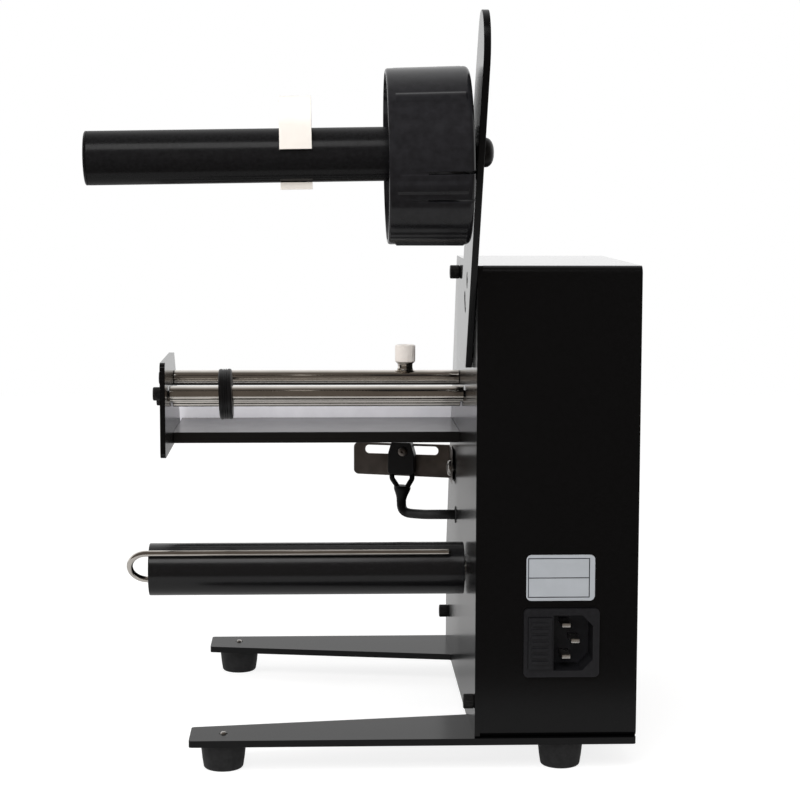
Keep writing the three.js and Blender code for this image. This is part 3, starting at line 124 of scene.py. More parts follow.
def axis_frame(origin, along, up=Z):
    """A matrix whose local x runs along one direction, with local z as near to up as it can be."""
    x = Vector(along).normalized()
    y = Vector(up).cross(x).normalized()
    z = x.cross(y)
    turn = Matrix((x, y, z)).transposed().to_4x4()
    return Matrix.Translation(origin) @ turn


def lengthwise(node):
    """The frame of a node turned about X, with its origin at the low end, and its length and radius."""
    bottom, top = low(node), high(node)
    centre = middle(node)
    place = axis_frame((bottom.x, centre.y, centre.z), X)
    return place, top.x - bottom.x, (top.z - bottom.z) / 2


def upright(node):
    """The frame of a node turned about Z, with its origin at the foot, and its length and radius."""
    bottom, top = low(node), high(node)
    centre = middle(node)
    place = axis_frame((centre.x, centre.y, bottom.z), Z, up=Y)
    return place, top.z - bottom.z, (top.x - bottom.x) / 2


# Settings that a user would change


def colour_setting(name, description, default):
    return FloatVectorProperty(
        name=name,
        description=description,
        subtype="COLOR",
        size=3,
        min=0,
        max=1,
        default=default,
    )


def edge_setting(name, description, default):
    return FloatProperty(name=name, description=description, subtype="DISTANCE", min=0, default=default)


def power_setting(name, description, default):
    return FloatProperty(name=name, description=description, unit="POWER", min=0, default=default)


class FinishSettings(PropertyGroup):
    coat_colour: colour_setting("Powder coat", "Colour of the sheet metal", (0.0026, 0.0026, 0.0028))
    coat_roughness: FloatProperty(
        name="Coat roughness",
        description="How matt the powder coat is",
        subtype="FACTOR",
        min=0,
        max=1,
        default=0.4,
    )
    plastic_colour: colour_setting("Plastic", "Colour of the moulded parts", (0.0035, 0.0035, 0.004))
    rubber_colour: colour_setting("Rubber", "Colour of the feet", (0.008, 0.008, 0.0085))
    chrome_colour: colour_setting("Chrome", "Colour of the plated rods", (0.72, 0.68, 0.63))
    # The roll stop's near-white colour is a painted reflection: it stands in for the light the shiny spring
    # steel would mirror.
    strip_colour_painted_reflection: colour_setting("Spring strip", "Colour of the roll stop", (0.94, 0.89, 0.83))
    label_colour: colour_setting("Rating plate", "Colour of the blank sticker", (0.43, 0.455, 0.485))


class ShapeSettings(PropertyGroup):
    sheet_edge: edge_setting("Sheet edge", "Rounding of the sheet metal's edges", 0.35 * MM)
    small_edge: edge_setting("Small edge", "Rounding of the turned and moulded parts' edges", 0.22 * MM)
    segments: IntProperty(
        name="Segments",
        description="Facets round a large turned part",
        min=12,
        max=256,
        default=96,
    )


class StudioSettings(PropertyGroup):
    key_power: power_setting("Key light", "The large soft light above and in front of the machine", 18.0)
    front_power: power_setting("Front light", "The low soft light behind the camera", 10.0)
    side_power: power_setting("Side light", "The soft light on the roller side", 3.0)
    glint_power: power_setting("Glint light", "The light that puts the soft gleam on the black parts", 3.0)
    sky: FloatProperty(
        name="Backdrop",
        description="Brightness of the white backdrop, where 1 is white",
        min=0,
        default=1.0,
    )
    dark_side: colour_setting("Dark side", "Colour of the room behind the camera", (0.11, 0.095, 0.082))
    lens: FloatProperty(
        name="Focal length",
        description="Lens of the camera, on a 36 mm sensor",
        subtype="DISTANCE_CAMERA",
        min=10,
        default=89.37,
    )


def finish_of():
    return bpy.context.scene.dispenser_finish


def shape_of():
    return bpy.context.scene.dispenser_shape


def studio_of():
    return bpy.context.scene.dispenser_studio


# Materials


def new_material(name, **inputs):
    """A Principled material; each input is a socket's name, with spaces as underscores."""
    material = bpy.data.materials.new(name)
    material.use_nodes = True
    shader = material.node_tree.nodes["Principled BSDF"]
    for key, value in inputs.items():
        socket = shader.inputs[key.replace("_", " ")]
        socket.default_value = (*value, 1) if hasattr(value, "__len__") else value
    return material


def object_noise(material, scale, detail=2.0, stretch=(1, 1, 1)):
    """A noise texture in object space, stretched along its axes; scale is in features per metre."""
    tree = material.node_tree
    place = tree.nodes.new("ShaderNodeTexCoord")
    mapping = tree.nodes.new("ShaderNodeMapping")
    mapping.inputs["Scale"].default_value = stretch
    noise = tree.nodes.new("ShaderNodeTexNoise")
    noise.inputs["Scale"].default_value = scale
    noise.inputs["Detail"].default_value = detail
    tree.links.new(place.outputs["Object"], mapping.inputs["Vector"])
    tree.links.new(mapping.outputs["Vector"], noise.inputs["Vector"])
    return noise


# Most of a noise texture's values lie between these
noise_low, noise_high = 0.3, 0.7


def vary(material, socket, noise, low_value, high_value):
    """Lets the noise move a number between two values."""
    tree = material.node_tree
    span = tree.nodes.new("ShaderNodeMapRange")
    span.inputs["From Min"].default_value = noise_low
    span.inputs["From Max"].default_value = noise_high
    span.inputs["To Min"].default_value = low_value
    span.inputs["To Max"].default_value = high_value
    tree.links.new(noise.outputs["Fac"], span.inputs["Value"])
    shader = tree.nodes["Principled BSDF"]
    tree.links.new(span.outputs["Result"], shader.inputs[socket])


def tint(material, noise, dark, light):
    """Lets the noise move the base colour between two colours."""
    tree = material.node_tree
    ramp = tree.nodes.new("ShaderNodeValToRGB")
    ramp.color_ramp.elements[0].position = noise_low
    ramp.color_ramp.elements[0].color = (*dark, 1)
    ramp.color_ramp.elements[1].position = noise_high
    ramp.color_ramp.elements[1].color = (*light, 1)
    tree.links.new(noise.outputs["Fac"], ramp.inputs["Fac"])
    tree.links.new(ramp.outputs["Color"], tree.nodes["Principled BSDF"].inputs["Base Color"])


def roughen(material, noise, depth, strength=1.0):
    """Uses the noise as a bump of that depth."""
    tree = material.node_tree
    bump = tree.nodes.new("ShaderNodeBump")
    bump.inputs["Distance"].default_value = depth
    bump.inputs["Strength"].default_value = strength
    tree.links.new(noise.outputs["Fac"], bump.inputs["Height"])
    tree.links.new(bump.outputs["Normal"], tree.nodes["Principled BSDF"].inputs["Normal"])


def by_facing(material, socket, start, end, steep, grazing):
    """Moves a number from steep to grazing as the surface's turn from the view goes from start to end."""
    tree = material.node_tree
    layer = tree.nodes.new("ShaderNodeLayerWeight")
    layer.inputs["Blend"].default_value = 0.5
    span = tree.nodes.new("ShaderNodeMapRange")
    span.inputs["From Min"].default_value = start
    span.inputs["From Max"].default_value = end
    span.inputs["To Min"].default_value = steep
    span.inputs["To Max"].default_value = grazing
    tree.links.new(layer.outputs["Facing"], span.inputs["Value"])
    tree.links.new(span.outputs["Result"], tree.nodes["Principled BSDF"].inputs[socket])


def shade(colour, factor):
    return tuple(min(1, c * factor) for c in colour)


made_materials = {}


def material_once(maker):
    """Makes a material at its first use and gives the same one back afterwards."""

    def wrapped():
        if maker.__name__ not in made_materials:
            made_materials[maker.__name__] = maker()
        return made_materials[maker.__name__]

    return wrapped


def coat_texture(material, finish):
    colour = tuple(finish.coat_colour)
    cloud = object_noise(material, 60, detail=4)
    vary(material, "Roughness", cloud, finish.coat_roughness - 0.02, finish.coat_roughness + 0.03)
    tint(material, object_noise(material, 900), shade(colour, 0.85), shade(colour, 1.25))
    roughen(material, object_noise(material, 1600, detail=3), 0.02 * MM, 0.5)


@material_once
def powder_coat():
    """Dull from the front, and glossy where it is seen at a grazing angle."""
    finish = finish_of()
    material = new_material(
        "powder_coat",
        Base_Color=finish.coat_colour,
        Roughness=finish.coat_roughness,
    )
    by_facing(material, "Coat Weight", 0.79, 0.88, 0.5, 1.0)
    by_facing(material, "Coat Roughness", 0.93, 0.965, 0.2, 0.05)
    by_facing(material, "Specular IOR Level", 0.93, 0.97, 0.0, 0.5)
    coat_texture(material, finish)
    return material


@material_once
def table_coat():
    """The same coat, worn smoother where the label web runs."""
    finish = finish_of()
    material = new_material(
        "table_coat",
        Base_Color=finish.coat_colour,
        Roughness=finish.coat_roughness,
        Coat_Weight=0.5,
        Coat_Roughness=0.14,
    )
    coat_texture(material, finish)
    return material


def tube_coat(name, lighter, gloss):
    """The coat of a turned tube: smoother than the sheet metal's, and lighter by a factor."""
    colour = shade(finish_of().coat_colour, lighter)
    material = new_material(
        name,
        Base_Color=colour,
        Specular_IOR_Level=0.0,
        Coat_Weight=gloss,
        Coat_Roughness=0.2,
    )
    vary(material, "Coat Roughness", object_noise(material, 90, detail=4), 0.18, 0.23)
    tint(material, object_noise(material, 700), shade(colour, 0.8), shade(colour, 1.3))
    roughen(material, object_noise(material, 1500), 0.012 * MM, 0.4)
    return material


@material_once
def roller_coat():
    return tube_coat("roller_coat", 2.2, 0.85)


@material_once
def shaft_coat():
    return tube_coat("shaft_coat", 2.6, 0.4)


@material_once
def hub_plastic():
    colour = shade(finish_of().plastic_colour, 3.6)
    material = new_material(
        "hub_plastic",
        Base_Color=colour,
        Specular_IOR_Level=0.0,
        Coat_Weight=0.65,
        Coat_Roughness=0.14,
    )
    vary(material, "Coat Roughness", object_noise(material, 70, detail=5), 0.12, 0.17)
    tint(material, object_noise(material, 300), shade(colour, 0.85), shade(colour, 1.3))
    roughen(material, object_noise(material, 120, detail=1), 0.05 * MM, 0.25)
    return material


@material_once
def moulded_plastic():
    colour = tuple(finish_of().plastic_colour)
    material = new_material("moulded_plastic", Base_Color=colour, Roughness=0.42)
    vary(material, "Roughness", object_noise(material, 200), 0.36, 0.48)
    tint(material, object_noise(material, 500), shade(colour, 0.8), shade(colour, 1.3))
    roughen(material, object_noise(material, 2500), 0.012 * MM, 0.6)
    return material


@material_once
def inlet_plastic():
    colour = shade(finish_of().plastic_colour, 3)
    material = new_material("inlet_plastic", Base_Color=colour, Roughness=0.5, Specular_IOR_Level=0.35)
    vary(material, "Roughness", object_noise(material, 300), 0.45, 0.56)
    tint(material, object_noise(material, 600), shade(colour, 0.85), shade(colour, 1.2))
    return material


@material_once
def foot_rubber():
    colour = tuple(finish_of().rubber_colour)
    material = new_material("foot_rubber", Base_Color=colour, Roughness=0.62)
    vary(material, "Roughness", object_noise(material, 250), 0.55, 0.7)
    tint(material, object_noise(material, 800), shade(colour, 0.75), shade(colour, 1.5))
    roughen(material, object_noise(material, 1800, detail=4), 0.03 * MM, 0.7)
    return material


@material_once
def cable_jacket():
    colour = shade(finish_of().rubber_colour, 0.5)
    material = new_material("cable_jacket", Base_Color=colour, Roughness=0.45, Specular_IOR_Level=0.2)
    vary(material, "Roughness", object_noise(material, 300), 0.4, 0.52)
    roughen(material, object_noise(material, 2000), 0.01 * MM, 0.5)
    return material


@material_once
def chrome_plate():
    colour = tuple(finish_of().chrome_colour)
    material = new_material("chrome_plate", Base_Color=colour, Metallic=1.0, Roughness=0.12)
    vary(material, "Roughness", object_noise(material, 500, stretch=(0.04, 1, 1)), 0.09, 0.17)
    tint(material, object_noise(material, 90, detail=3), shade(colour, 0.9), shade(colour, 1.05))
    return material


# Painted highlight: the knurled nickel head gets a near-white, non-metallic base colour that stands in for
# the light the metal would reflect.
@material_once
def knurled_nickel_painted_highlight():
    material = new_material("knurled_nickel_painted_highlight", Base_Color=(0.95, 0.89, 0.84), Roughness=0.38)
    vary(material, "Roughness", object_noise(material, 300), 0.36, 0.48)
    tint(material, object_noise(material, 400, detail=3), (0.91, 0.85, 0.8), (0.98, 0.92, 0.87))
    return material


@material_once
def pin_nickel():
    material = new_material("pin_nickel", Base_Color=(0.9, 0.88, 0.84), Metallic=1.0, Roughness=0.3)
    vary(material, "Roughness", object_noise(material, 400), 0.26, 0.36)
    return material


@material_once
def bright_steel():
    material = new_material("bright_steel", Base_Color=(0.52, 0.5, 0.47), Metallic=1.0, Roughness=0.3)
    vary(material, "Roughness", object_noise(material, 400, stretch=(0.1, 1, 1)), 0.24, 0.38)
    tint(material, object_noise(material, 200, detail=3), (0.44, 0.42, 0.4), (0.58, 0.56, 0.53))
    roughen(material, object_noise(material, 1200, stretch=(0.06, 1, 1)), 0.01 * MM, 0.4)
    return material


@material_once
def bracket_steel():
    material = new_material("bracket_steel", Base_Color=(0.2, 0.18, 0.17), Metallic=1.0, Roughness=0.36)
    vary(material, "Roughness", object_noise(material, 350, stretch=(1, 1, 0.1)), 0.3, 0.44)
    tint(material, object_noise(material, 120, detail=4), (0.16, 0.14, 0.13), (0.26, 0.23, 0.21))
    roughen(material, object_noise(material, 1000, stretch=(1, 1, 0.08)), 0.01 * MM, 0.5)
    return material


# Painted reflection: the steel peel plate is pale, near-white and not metallic, so its colour stands in for
# the brightness the steel would get by reflection.
@material_once
def peel_steel_painted_reflection():
    material = new_material("peel_steel_painted_reflection", Base_Color=(0.86, 0.85, 0.9), Roughness=0.5)
    vary(material, "Roughness", object_noise(material, 300, stretch=(0.05, 1, 1)), 0.44, 0.56)
    tint(material, object_noise(material, 150, detail=3), (0.83, 0.82, 0.87), (0.89, 0.88, 0.93))
    return material


@material_once
def black_oxide():
    material = new_material("black_oxide", Base_Color=(0.02, 0.02, 0.021), Metallic=0.7, Roughness=0.38)
    vary(material, "Roughness", object_noise(material, 600), 0.32, 0.46)
    tint(material, object_noise(material, 900), (0.012, 0.012, 0.013), (0.032, 0.031, 0.03))
    return material


# Painted reflection: the spring steel strip is near-white and not metallic, so its colour stands in for the
# bright light the steel would mirror.
@material_once
def spring_strip_painted_reflection():
    colour = tuple(finish_of().strip_colour_painted_reflection)
    material = new_material("spring_strip_painted_reflection", Base_Color=colour, Roughness=0.38)
    vary(material, "Roughness", object_noise(material, 300, stretch=(0.1, 1, 1)), 0.32, 0.45)
    tint(material, object_noise(material, 120, detail=3), shade(colour, 0.96), shade(colour, 1.03))
    return material


@material_once
def silver_label():
    colour = tuple(finish_of().label_colour)
    material = new_material("silver_label", Base_Color=colour, Roughness=0.38)
    vary(material, "Roughness", object_noise(material, 400), 0.33, 0.43)
    tint(material, object_noise(material, 150), shade(colour, 0.97), shade(colour, 1.03))
    return material


@material_once
def label_ink():
    material = new_material("label_ink", Base_Color=(0.02, 0.022, 0.026), Roughness=0.45)
    vary(material, "Roughness", object_noise(material, 500), 0.4, 0.5)
    return material


@material_once
def board_green():
    material = new_material("board_green", Base_Color=(0.012, 0.1, 0.035), Roughness=0.4)
    tint(material, object_noise(material, 250, detail=4), (0.01, 0.08, 0.028), (0.02, 0.13, 0.045))
    vary(material, "Roughness", object_noise(material, 700), 0.34, 0.46)
    return material


@material_once
def case_metal():
    material = new_material("case_metal", Base_Color=(0.5, 0.5, 0.5), Metallic=1.0, Roughness=0.42)
    vary(material, "Roughness", object_noise(material, 300, stretch=(1, 0.1, 1)), 0.36, 0.5)
    tint(material, object_noise(material, 160, detail=3), (0.44, 0.44, 0.44), (0.56, 0.56, 0.55))
    return material


@material_once
def fuse_glass():
    colour = (0.9, 0.93, 0.94)
    material = new_material("fuse_glass", Base_Color=colour, Roughness=0.05, Transmission_Weight=0.9)
    vary(material, "Roughness", object_noise(material, 400), 0.03, 0.08)
    return material


# Mesh makers


def link(name, mesh, material, body, replaced=(), edge=None):
    """Adds a mesh as one piece that rides on a body, or on none when no body is given."""
    piece = bpy.data.objects.new(name, mesh)
    bpy.context.scene.collection.objects.link(piece)
    piece.data.materials.append(material)
    soften(piece, shape_of().small_edge if edge is None else edge)
    if body:
        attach(piece, body)
    if replaced:
        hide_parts(*replaced)
    return piece


def soften(piece, width):
    """Smooth shading with real rounded edges wherever two faces meet at more than 32 degrees."""
    piece.data.shade_smooth()
    if width > 0:
        bevel = piece.modifiers.new("edges", "BEVEL")
        bevel.width = width
        bevel.segments = 3
        bevel.limit_method = "ANGLE"
        bevel.angle_limit = math.radians(32)
        bevel.use_clamp_overlap = True
        bevel.miter_outer = "MITER_ARC"
    normals = piece.modifiers.new("normals", "WEIGHTED_NORMAL")
    normals.keep_sharp = True


def to_mesh(bm, name):
    bmesh.ops.recalc_face_normals(bm, faces=bm.faces)
    mesh = bpy.data.meshes.new(name)
    bm.to_mesh(mesh)
    bm.free()
    return mesh


def spun(name, place, profile, segments=None):
    """A turned mesh round the local x axis of place.

    profile is [along, radius] pairs; a radius may be a function of the angle.
    A profile that doesn't end on the axis closes on itself."""
    count = segments or shape_of().segments
    bm = bmesh.new()
    rings = []
    for along, radius in profile:
        if not callable(radius) and radius == 0:
            rings.append([bm.verts.new(place @ Vector((along, 0, 0)))])
            continue
        ring = []
        for i in range(count):
            angle = 2 * math.pi * i / count
            r = radius(angle) if callable(radius) else radius
            ring.append(bm.verts.new(place @ Vector((along, r * math.cos(angle), r * math.sin(angle)))))
        rings.append(ring)
    pairs = list(zip(rings, rings[1:]))
    if len(rings[0]) > 1:
        pairs.append((rings[-1], rings[0]))
    for a, b in pairs:
        for i in range(count):
            k = (i + 1) % count
            corners = [a[i % len(a)], a[k % len(a)], b[k % len(b)], b[i % len(b)]]
            kept = list(dict.fromkeys(corners))
            if len(kept) > 2:
                bm.faces.new(kept)
    return to_mesh(bm, name)


def quarter(steps):
    """The angles of a quarter turn, from 0 to a right angle."""
    return [math.pi / 2 * k / steps for k in range(steps + 1)]


def hexagon(across):
    """The radius of a hexagonal socket or nut, as a function of the angle; across is flat to flat."""
    return lambda angle: across / 2 / math.cos(angle % (math.pi / 3) - math.pi / 6)


def knurl(radius, depth, count):
    """A radius with count rounded grooves, as a function of the angle."""
    return lambda angle: radius - depth * (0.5 - 0.5 * math.cos(count * angle))


def smooth_route(points, steps):
    """Points along a Catmull-Rom curve through the given ones."""
    path = [Vector(p) for p in points]
    ends = [2 * path[0] - path[1], *path, 2 * path[-1] - path[-2]]
    route = []
    for i in range(1, len(ends) - 2):
        a, b, c, d = ends[i - 1 : i + 3]
        for s in range(steps):
            t = s / steps
            slope = (c - a) * t
            bow = (2 * a - 5 * b + 4 * c - d) * t**2
            twist = (3 * b - a - 3 * c + d) * t**3
            route.append(0.5 * (2 * b + slope + bow + twist))
    return [*route, path[-1]]


def tube(name, route, radius, segments=24, round_ends=0):
    """A tube along a route; radius is a number, or a function of the share of its length.

    round_ends is the number of rings in each end's dome, or 0 for flat ends."""
    last = len(route) - 1
    stations = []
    for i, point in enumerate(route):
        along = (route[min(i + 1, last)] - route[max(i - 1, 0)]).normalized()
        stations.append((point, along, radius(i / last) if callable(radius) else radius))

    def dome(station, way):
        point, along, r = station
        angles = (math.pi / 2 * k / round_ends for k in range(1, round_ends + 1))
        return [(point + way * along * r * math.sin(a), along, r * math.cos(a)) for a in angles]

    opening, closing = dome(stations[0], -1), dome(stations[-1], 1)
    bm = bmesh.new()
    rings = []
    side = None
    turns = [2 * math.pi * k / segments for k in range(segments)]
    for point, along, r in [*reversed(opening), *stations, *closing]:
        side = along.orthogonal() if side is None else side - along * side.dot(along)
        side.normalize()
        other = along.cross(side)
        ring = [point + max(r, 1e-7) * (side * math.cos(t) + other * math.sin(t)) for t in turns]
        rings.append([bm.verts.new(place) for place in ring])
    for a, b in zip(rings, rings[1:]):
        for k in range(segments):
            n = (k + 1) % segments
            bm.faces.new((a[k], a[n], b[n], b[k]))
    bm.faces.new(list(reversed(rings[0])))
    bm.faces.new(rings[-1])
    bmesh.ops.remove_doubles(bm, verts=bm.verts, dist=1e-6)
    return to_mesh(bm, name)


def rounded_points(corners, steps=6):
    """Points round a closed outline; each corner is (u, v, radius)."""
    points = []
    for i, (u, v, radius) in enumerate(corners):
        here = Vector((u, v))
        back = (Vector(corners[i - 1][:2]) - here).normalized()
        on = (Vector(corners[(i + 1) % len(corners)][:2]) - here).normalized()
        if radius == 0:
            points.append(here)
            continue
        half = back.angle(on) / 2
        centre = here + (back + on).normalized() * radius / math.sin(half)
        start = here + back * radius / math.tan(half) - centre
        finish = here + on * radius / math.tan(half) - centre
        sweep = start.angle_signed(finish)
        for k in range(steps + 1):
            points.append(centre + Matrix.Rotation(-sweep * k / steps, 2) @ start)
    return points


def prism(name, place, points, depth):
    """A solid from an outline in the local x and y plane of place, depth along local z."""
    bm = bmesh.new()
    lower = [bm.verts.new(place @ Vector((p[0], p[1], 0))) for p in points]
    upper = [bm.verts.new(place @ Vector((p[0], p[1], depth))) for p in points]
    bm.faces.new(list(reversed(lower)))
    bm.faces.new(upper)
    count = len(points)
    for i in range(count):
        k = (i + 1) % count
        bm.faces.new((lower[i], lower[k], upper[k], upper[i]))
    return to_mesh(bm, name)


def box_points(x0, y0, x1, y1, radius=0.0):
    """The corners of a rectangle, each (u, v, radius)."""
    return [(x0, y0, radius), (x1, y0, radius), (x1, y1, radius), (x0, y1, radius)]


def carved(mesh, cutters, operation="DIFFERENCE"):
    """The mesh after boolean cuts or joins with other meshes."""
    work = bpy.data.objects.new("work", mesh)
    bpy.context.scene.collection.objects.link(work)
    tools = []
    for i, cutter in enumerate(cutters):
        tool = bpy.data.objects.new(f"tool_{i}", cutter)
        bpy.context.scene.collection.objects.link(tool)
        tools.append(tool)
        modifier = work.modifiers.new(f"cut_{i}", "BOOLEAN")
        modifier.operation = operation
        modifier.object = tool
        modifier.solver = "EXACT"
    bpy.context.view_layer.update()
    result = bpy.data.meshes.new_from_object(work.evaluated_get(bpy.context.evaluated_depsgraph_get()))
    for thing in [work, *tools]:
        bpy.data.objects.remove(thing)
    return result


def dress(node, material, edge=0.0):
    """Gives a CAD node its finish, and rounded edges if edge is over zero."""
    thing = nodes[node]
    thing.data.materials.clear()
    thing.data.materials.append(material)
    if edge <= 0:
        return
    weld = thing.modifiers.new("weld", "WELD")
    weld.merge_threshold = 0.002 * MM
    plain = thing.modifiers.new("flat", "DECIMATE")
    plain.decimate_type = "DISSOLVE"
    plain.angle_limit = math.radians(1)
    soften(thing, edge)


# Camera and stage


class DISPENSER_OT_studio(Operator):
    """Makes the camera at the photograph's place, the pale floor, the world and the soft lights"""

    bl_idname = "dispenser.studio"
    bl_label = "Studio"

    def execute(self, context):
        studio = studio_of()
        self.camera(context, studio)
        self.world(context, studio)
        self.floor()
        self.lamp("key_light", studio.key_power, (1.2, 1.0), (-0.35, -1.0, 1.15))
        self.lamp("front_light", studio.front_power, (0.9, 0.5), (-0.3, -1.7, 0.25))
        self.lamp("side_light", studio.side_power, (0.5, 1.0), (-1.3, -0.3, 0.5))
        glint = self.lamp("glint_light", studio.glint_power, (0.6, 0.6), (-0.2, -1.05, 1.3))
        glint.visible_glossy = True
        glint.light_linking.receiver_collection = self.black_parts()
        return {"FINISHED"}

    def camera(self, context, studio):
        from_corner = Vector((-67.95, -844.46, 239.78)) * MM
        yaw, pitch, roll = (math.radians(a) for a in (2.3727, 6.1585, -0.139))
        level_part = math.cos(pitch)
        forward = Vector((math.sin(yaw) * level_part, math.cos(yaw) * level_part, -math.sin(pitch)))
        level = Vector((math.cos(yaw), -math.sin(yaw), 0))
        down = forward.cross(level)
        right = math.cos(roll) * level + math.sin(roll) * down
        up = math.sin(roll) * level - math.cos(roll) * down
        data = bpy.data.cameras.new("camera")
        data.sensor_width = 36
        data.lens = studio.lens
        data.clip_start = 0.05
        camera = bpy.data.objects.new("camera", data)
        context.scene.collection.objects.link(camera)
        turn = Matrix((right, up, -forward)).transposed().to_4x4()
        camera.matrix_world = Matrix.Translation(panel_corner + from_corner) @ turn
        context.scene.camera = camera

    def world(self, context, studio):
        """White to the camera. In reflections, white behind the machine and dark behind the camera."""
        world = bpy.data.worlds.new("studio")
        world.use_nodes = True
        tree = world.node_tree
        tree.nodes.clear()
        make, wire = tree.nodes.new, tree.links.new
        place = make("ShaderNodeTexCoord")
        split = make("ShaderNodeSeparateXYZ")
        # The angle round the room, from the backdrop's horizon over the top to the camera's side
        angle = make("ShaderNodeMath")
        angle.operation = "ARCTAN2"
        share = make("ShaderNodeMath")
        share.operation = "DIVIDE"
        share.inputs[1].default_value = 2 * math.pi
        turn = make("ShaderNodeMath")
        turn.operation = "FRACT"
        ramp = make("ShaderNodeValToRGB")
        degrees = ((0, 1.0), (40, 1.0), (58, 0.85), (74, 0.5), (90, 0.2), (106, 0.0), (330, 0.0), (350, 1.0))
        stops = ramp.color_ramp.elements
        while len(stops) < len(degrees):
            stops.new(0.5)
        for stop, (place_round, level) in zip(stops, degrees):
            stop.position = place_round / 360
            stop.color = (*(studio.sky * level + dark * (1 - level) for dark in studio.dark_side), 1)
        path = make("ShaderNodeLightPath")
        seen = make("ShaderNodeMix")
        seen.data_type = "RGBA"
        seen.inputs["B"].default_value = (1, 1, 1, 1)
        background = make("ShaderNodeBackground")
        output = make("ShaderNodeOutputWorld")
        wire(place.outputs["Generated"], split.inputs["Vector"])
        wire(split.outputs["Z"], angle.inputs[0])
        wire(split.outputs["Y"], angle.inputs[1])
        wire(angle.outputs[0], share.inputs[0])
        wire(share.outputs[0], turn.inputs[0])
        wire(turn.outputs[0], ramp.inputs["Fac"])
        wire(path.outputs["Is Camera Ray"], seen.inputs["Factor"])
        wire(ramp.outputs["Color"], seen.inputs["A"])
        wire(seen.outputs["Result"], background.inputs["Color"])
        wire(background.outputs["Background"], output.inputs["Surface"])
        context.scene.world = world
        context.scene.view_settings.view_transform = "Standard"

    def floor(self):
        """A pale table top that shows white and keeps a faint shadow."""
        bm = bmesh.new()
        outline = ((-0.9, -0.2), (0.9, -0.2), (0.9, 1.5), (-0.9, 1.5))
        under_feet = -0.02 * MM
        seen, reflected_level = 0.82, 0.24
        bm.faces.new([bm.verts.new((x, y, under_feet)) for x, y in outline])
        floor = bpy.data.objects.new("floor", to_mesh(bm, "floor"))
        bpy.context.scene.collection.objects.link(floor)
        grey = (0.35, 0.35, 0.35)
        material = new_material("pale_floor", Base_Color=grey, Roughness=0.9, Specular_IOR_Level=0.0)
        tree = material.node_tree
        shader = tree.nodes["Principled BSDF"]
        path = tree.nodes.new("ShaderNodeLightPath")
        reflected = tree.nodes.new("ShaderNodeMath")
        reflected.operation = "MAXIMUM"
        dim = tree.nodes.new("ShaderNodeMath")
        dim.operation = "MULTIPLY"
        dim.inputs[1].default_value = reflected_level
        glow = tree.nodes.new("ShaderNodeMath")
        glow.operation = "MULTIPLY_ADD"
        glow.inputs[1].default_value = seen
        shader.inputs["Emission Color"].default_value = (1, 1, 1, 1)
        tree.links.new(path.outputs["Is Glossy Ray"], reflected.inputs[0])
        tree.links.new(path.outputs["Is Transmission Ray"], reflected.inputs[1])
        tree.links.new(reflected.outputs[0], dim.inputs[0])
        tree.links.new(path.outputs["Is Camera Ray"], glow.inputs[0])
        tree.links.new(dim.outputs[0], glow.inputs[2])
        tree.links.new(glow.outputs[0], shader.inputs["Emission Strength"])
        floor.data.materials.append(material)

    def lamp(self, name, power, size, place):
        data = bpy.data.lights.new(name, "AREA")
        data.shape = "RECTANGLE"
        data.size, data.size_y = size
        data.energy = power
        lamp = bpy.data.objects.new(name, data)
        bpy.context.scene.collection.objects.link(lamp)
        lamp.location = place
        aim = (cad_low + cad_high) / 2 - Vector(place)
        lamp.rotation_euler = aim.to_track_quat("-Z", "Y").to_euler()
        lamp.visible_glossy = False
        return lamp

    def black_parts(self):
        """The coated parts, which alone show the glint."""
        group = bpy.data.collections.new("black_parts")
        finishes = (powder_coat(), roller_coat(), shaft_coat())
        for piece in bpy.context.scene.objects:
            if piece.type == "MESH" and piece.data.materials and piece.data.materials[0] in finishes:
                group.objects.link(piece)
        return group


# Sheet metal


class DISPENSER_OT_sheet_metal(Operator):
    """Finishes the base, panel, cabinet, arm, side plate, table and sensor bracket"""

    bl_idname = "dispenser.sheet_metal"
    bl_label = "Sheet metal"

    def execute(self, context):
        edge = shape_of().sheet_edge
        coat = powder_coat()
        for node in ("base_plate", "main_panel", "cabinet_cover", "supply_arm", "side_plate"):
            dress(node, coat, edge)
        dress("table_plate", table_coat(), edge)
        dress("peel_plate", peel_steel_painted_reflection(), edge / 2)
        dress("sensor_bracket", bracket_steel(), edge / 2)
        return {"FINISHED"}


# Feet


class DISPENSER_OT_feet(Operator):
    """Makes the four rubber feet and their screws"""

    bl_idname = "dispenser.feet"
    bl_label = "Feet"

    def execute(self, context):
        for place in ("near_front", "near_rear", "far_front", "far_rear"):
            self.foot(f"foot_{place}")
            self.screw(f"foot_screw_{place}")
        return {"FINISHED"}

    def foot(self, node):
        place, height, radius = upright(node)
        slim, edge = radius * 0.871, 1.5 * MM
        recess, deep, bore = 5.4 * MM, 5.05 * MM, 1.95 * MM
        corner = [(edge * (1 - math.sin(a)), slim - edge * (1 - math.cos(a))) for a in quarter(6)]
        slope = [(height * s, slim + (radius - slim) * s) for s in (0.4, 0.7, 0.93)]
        profile = [
            (0, recess),
            *reversed(corner),
            *slope,
            (height, radius - 0.4 * MM),
            (height, bore),
            (deep, bore),
            (deep, recess),
        ]
        link(f"{node}_rubber", spun(node, place, profile, 64), foot_rubber(), "frame", [node])

    def screw(self, node):
        place, length, head = upright(node)
        height, shank, pitch, deep = 2.4 * MM, 1.6 * MM, 0.6 * MM, 0.25 * MM
        dome = [(height * (1 - math.cos(a)), head * math.sin(a)) for a in quarter(6)[1:]]
        thread = []
        for i in range(int((length - height - pitch) / pitch)):
            start = height + (i + 0.5) * pitch
            thread += [(start, shank - deep), (start + pitch / 2, shank)]
        profile = [(0.0, 0), *dome, (height, shank), *thread, (length, shank * 0.6), (length, 0)]
        link(f"{node}_steel", spun(node, place, profile, 32), bright_steel(), "frame", [node], 0)


# Screws that are let into holes along X


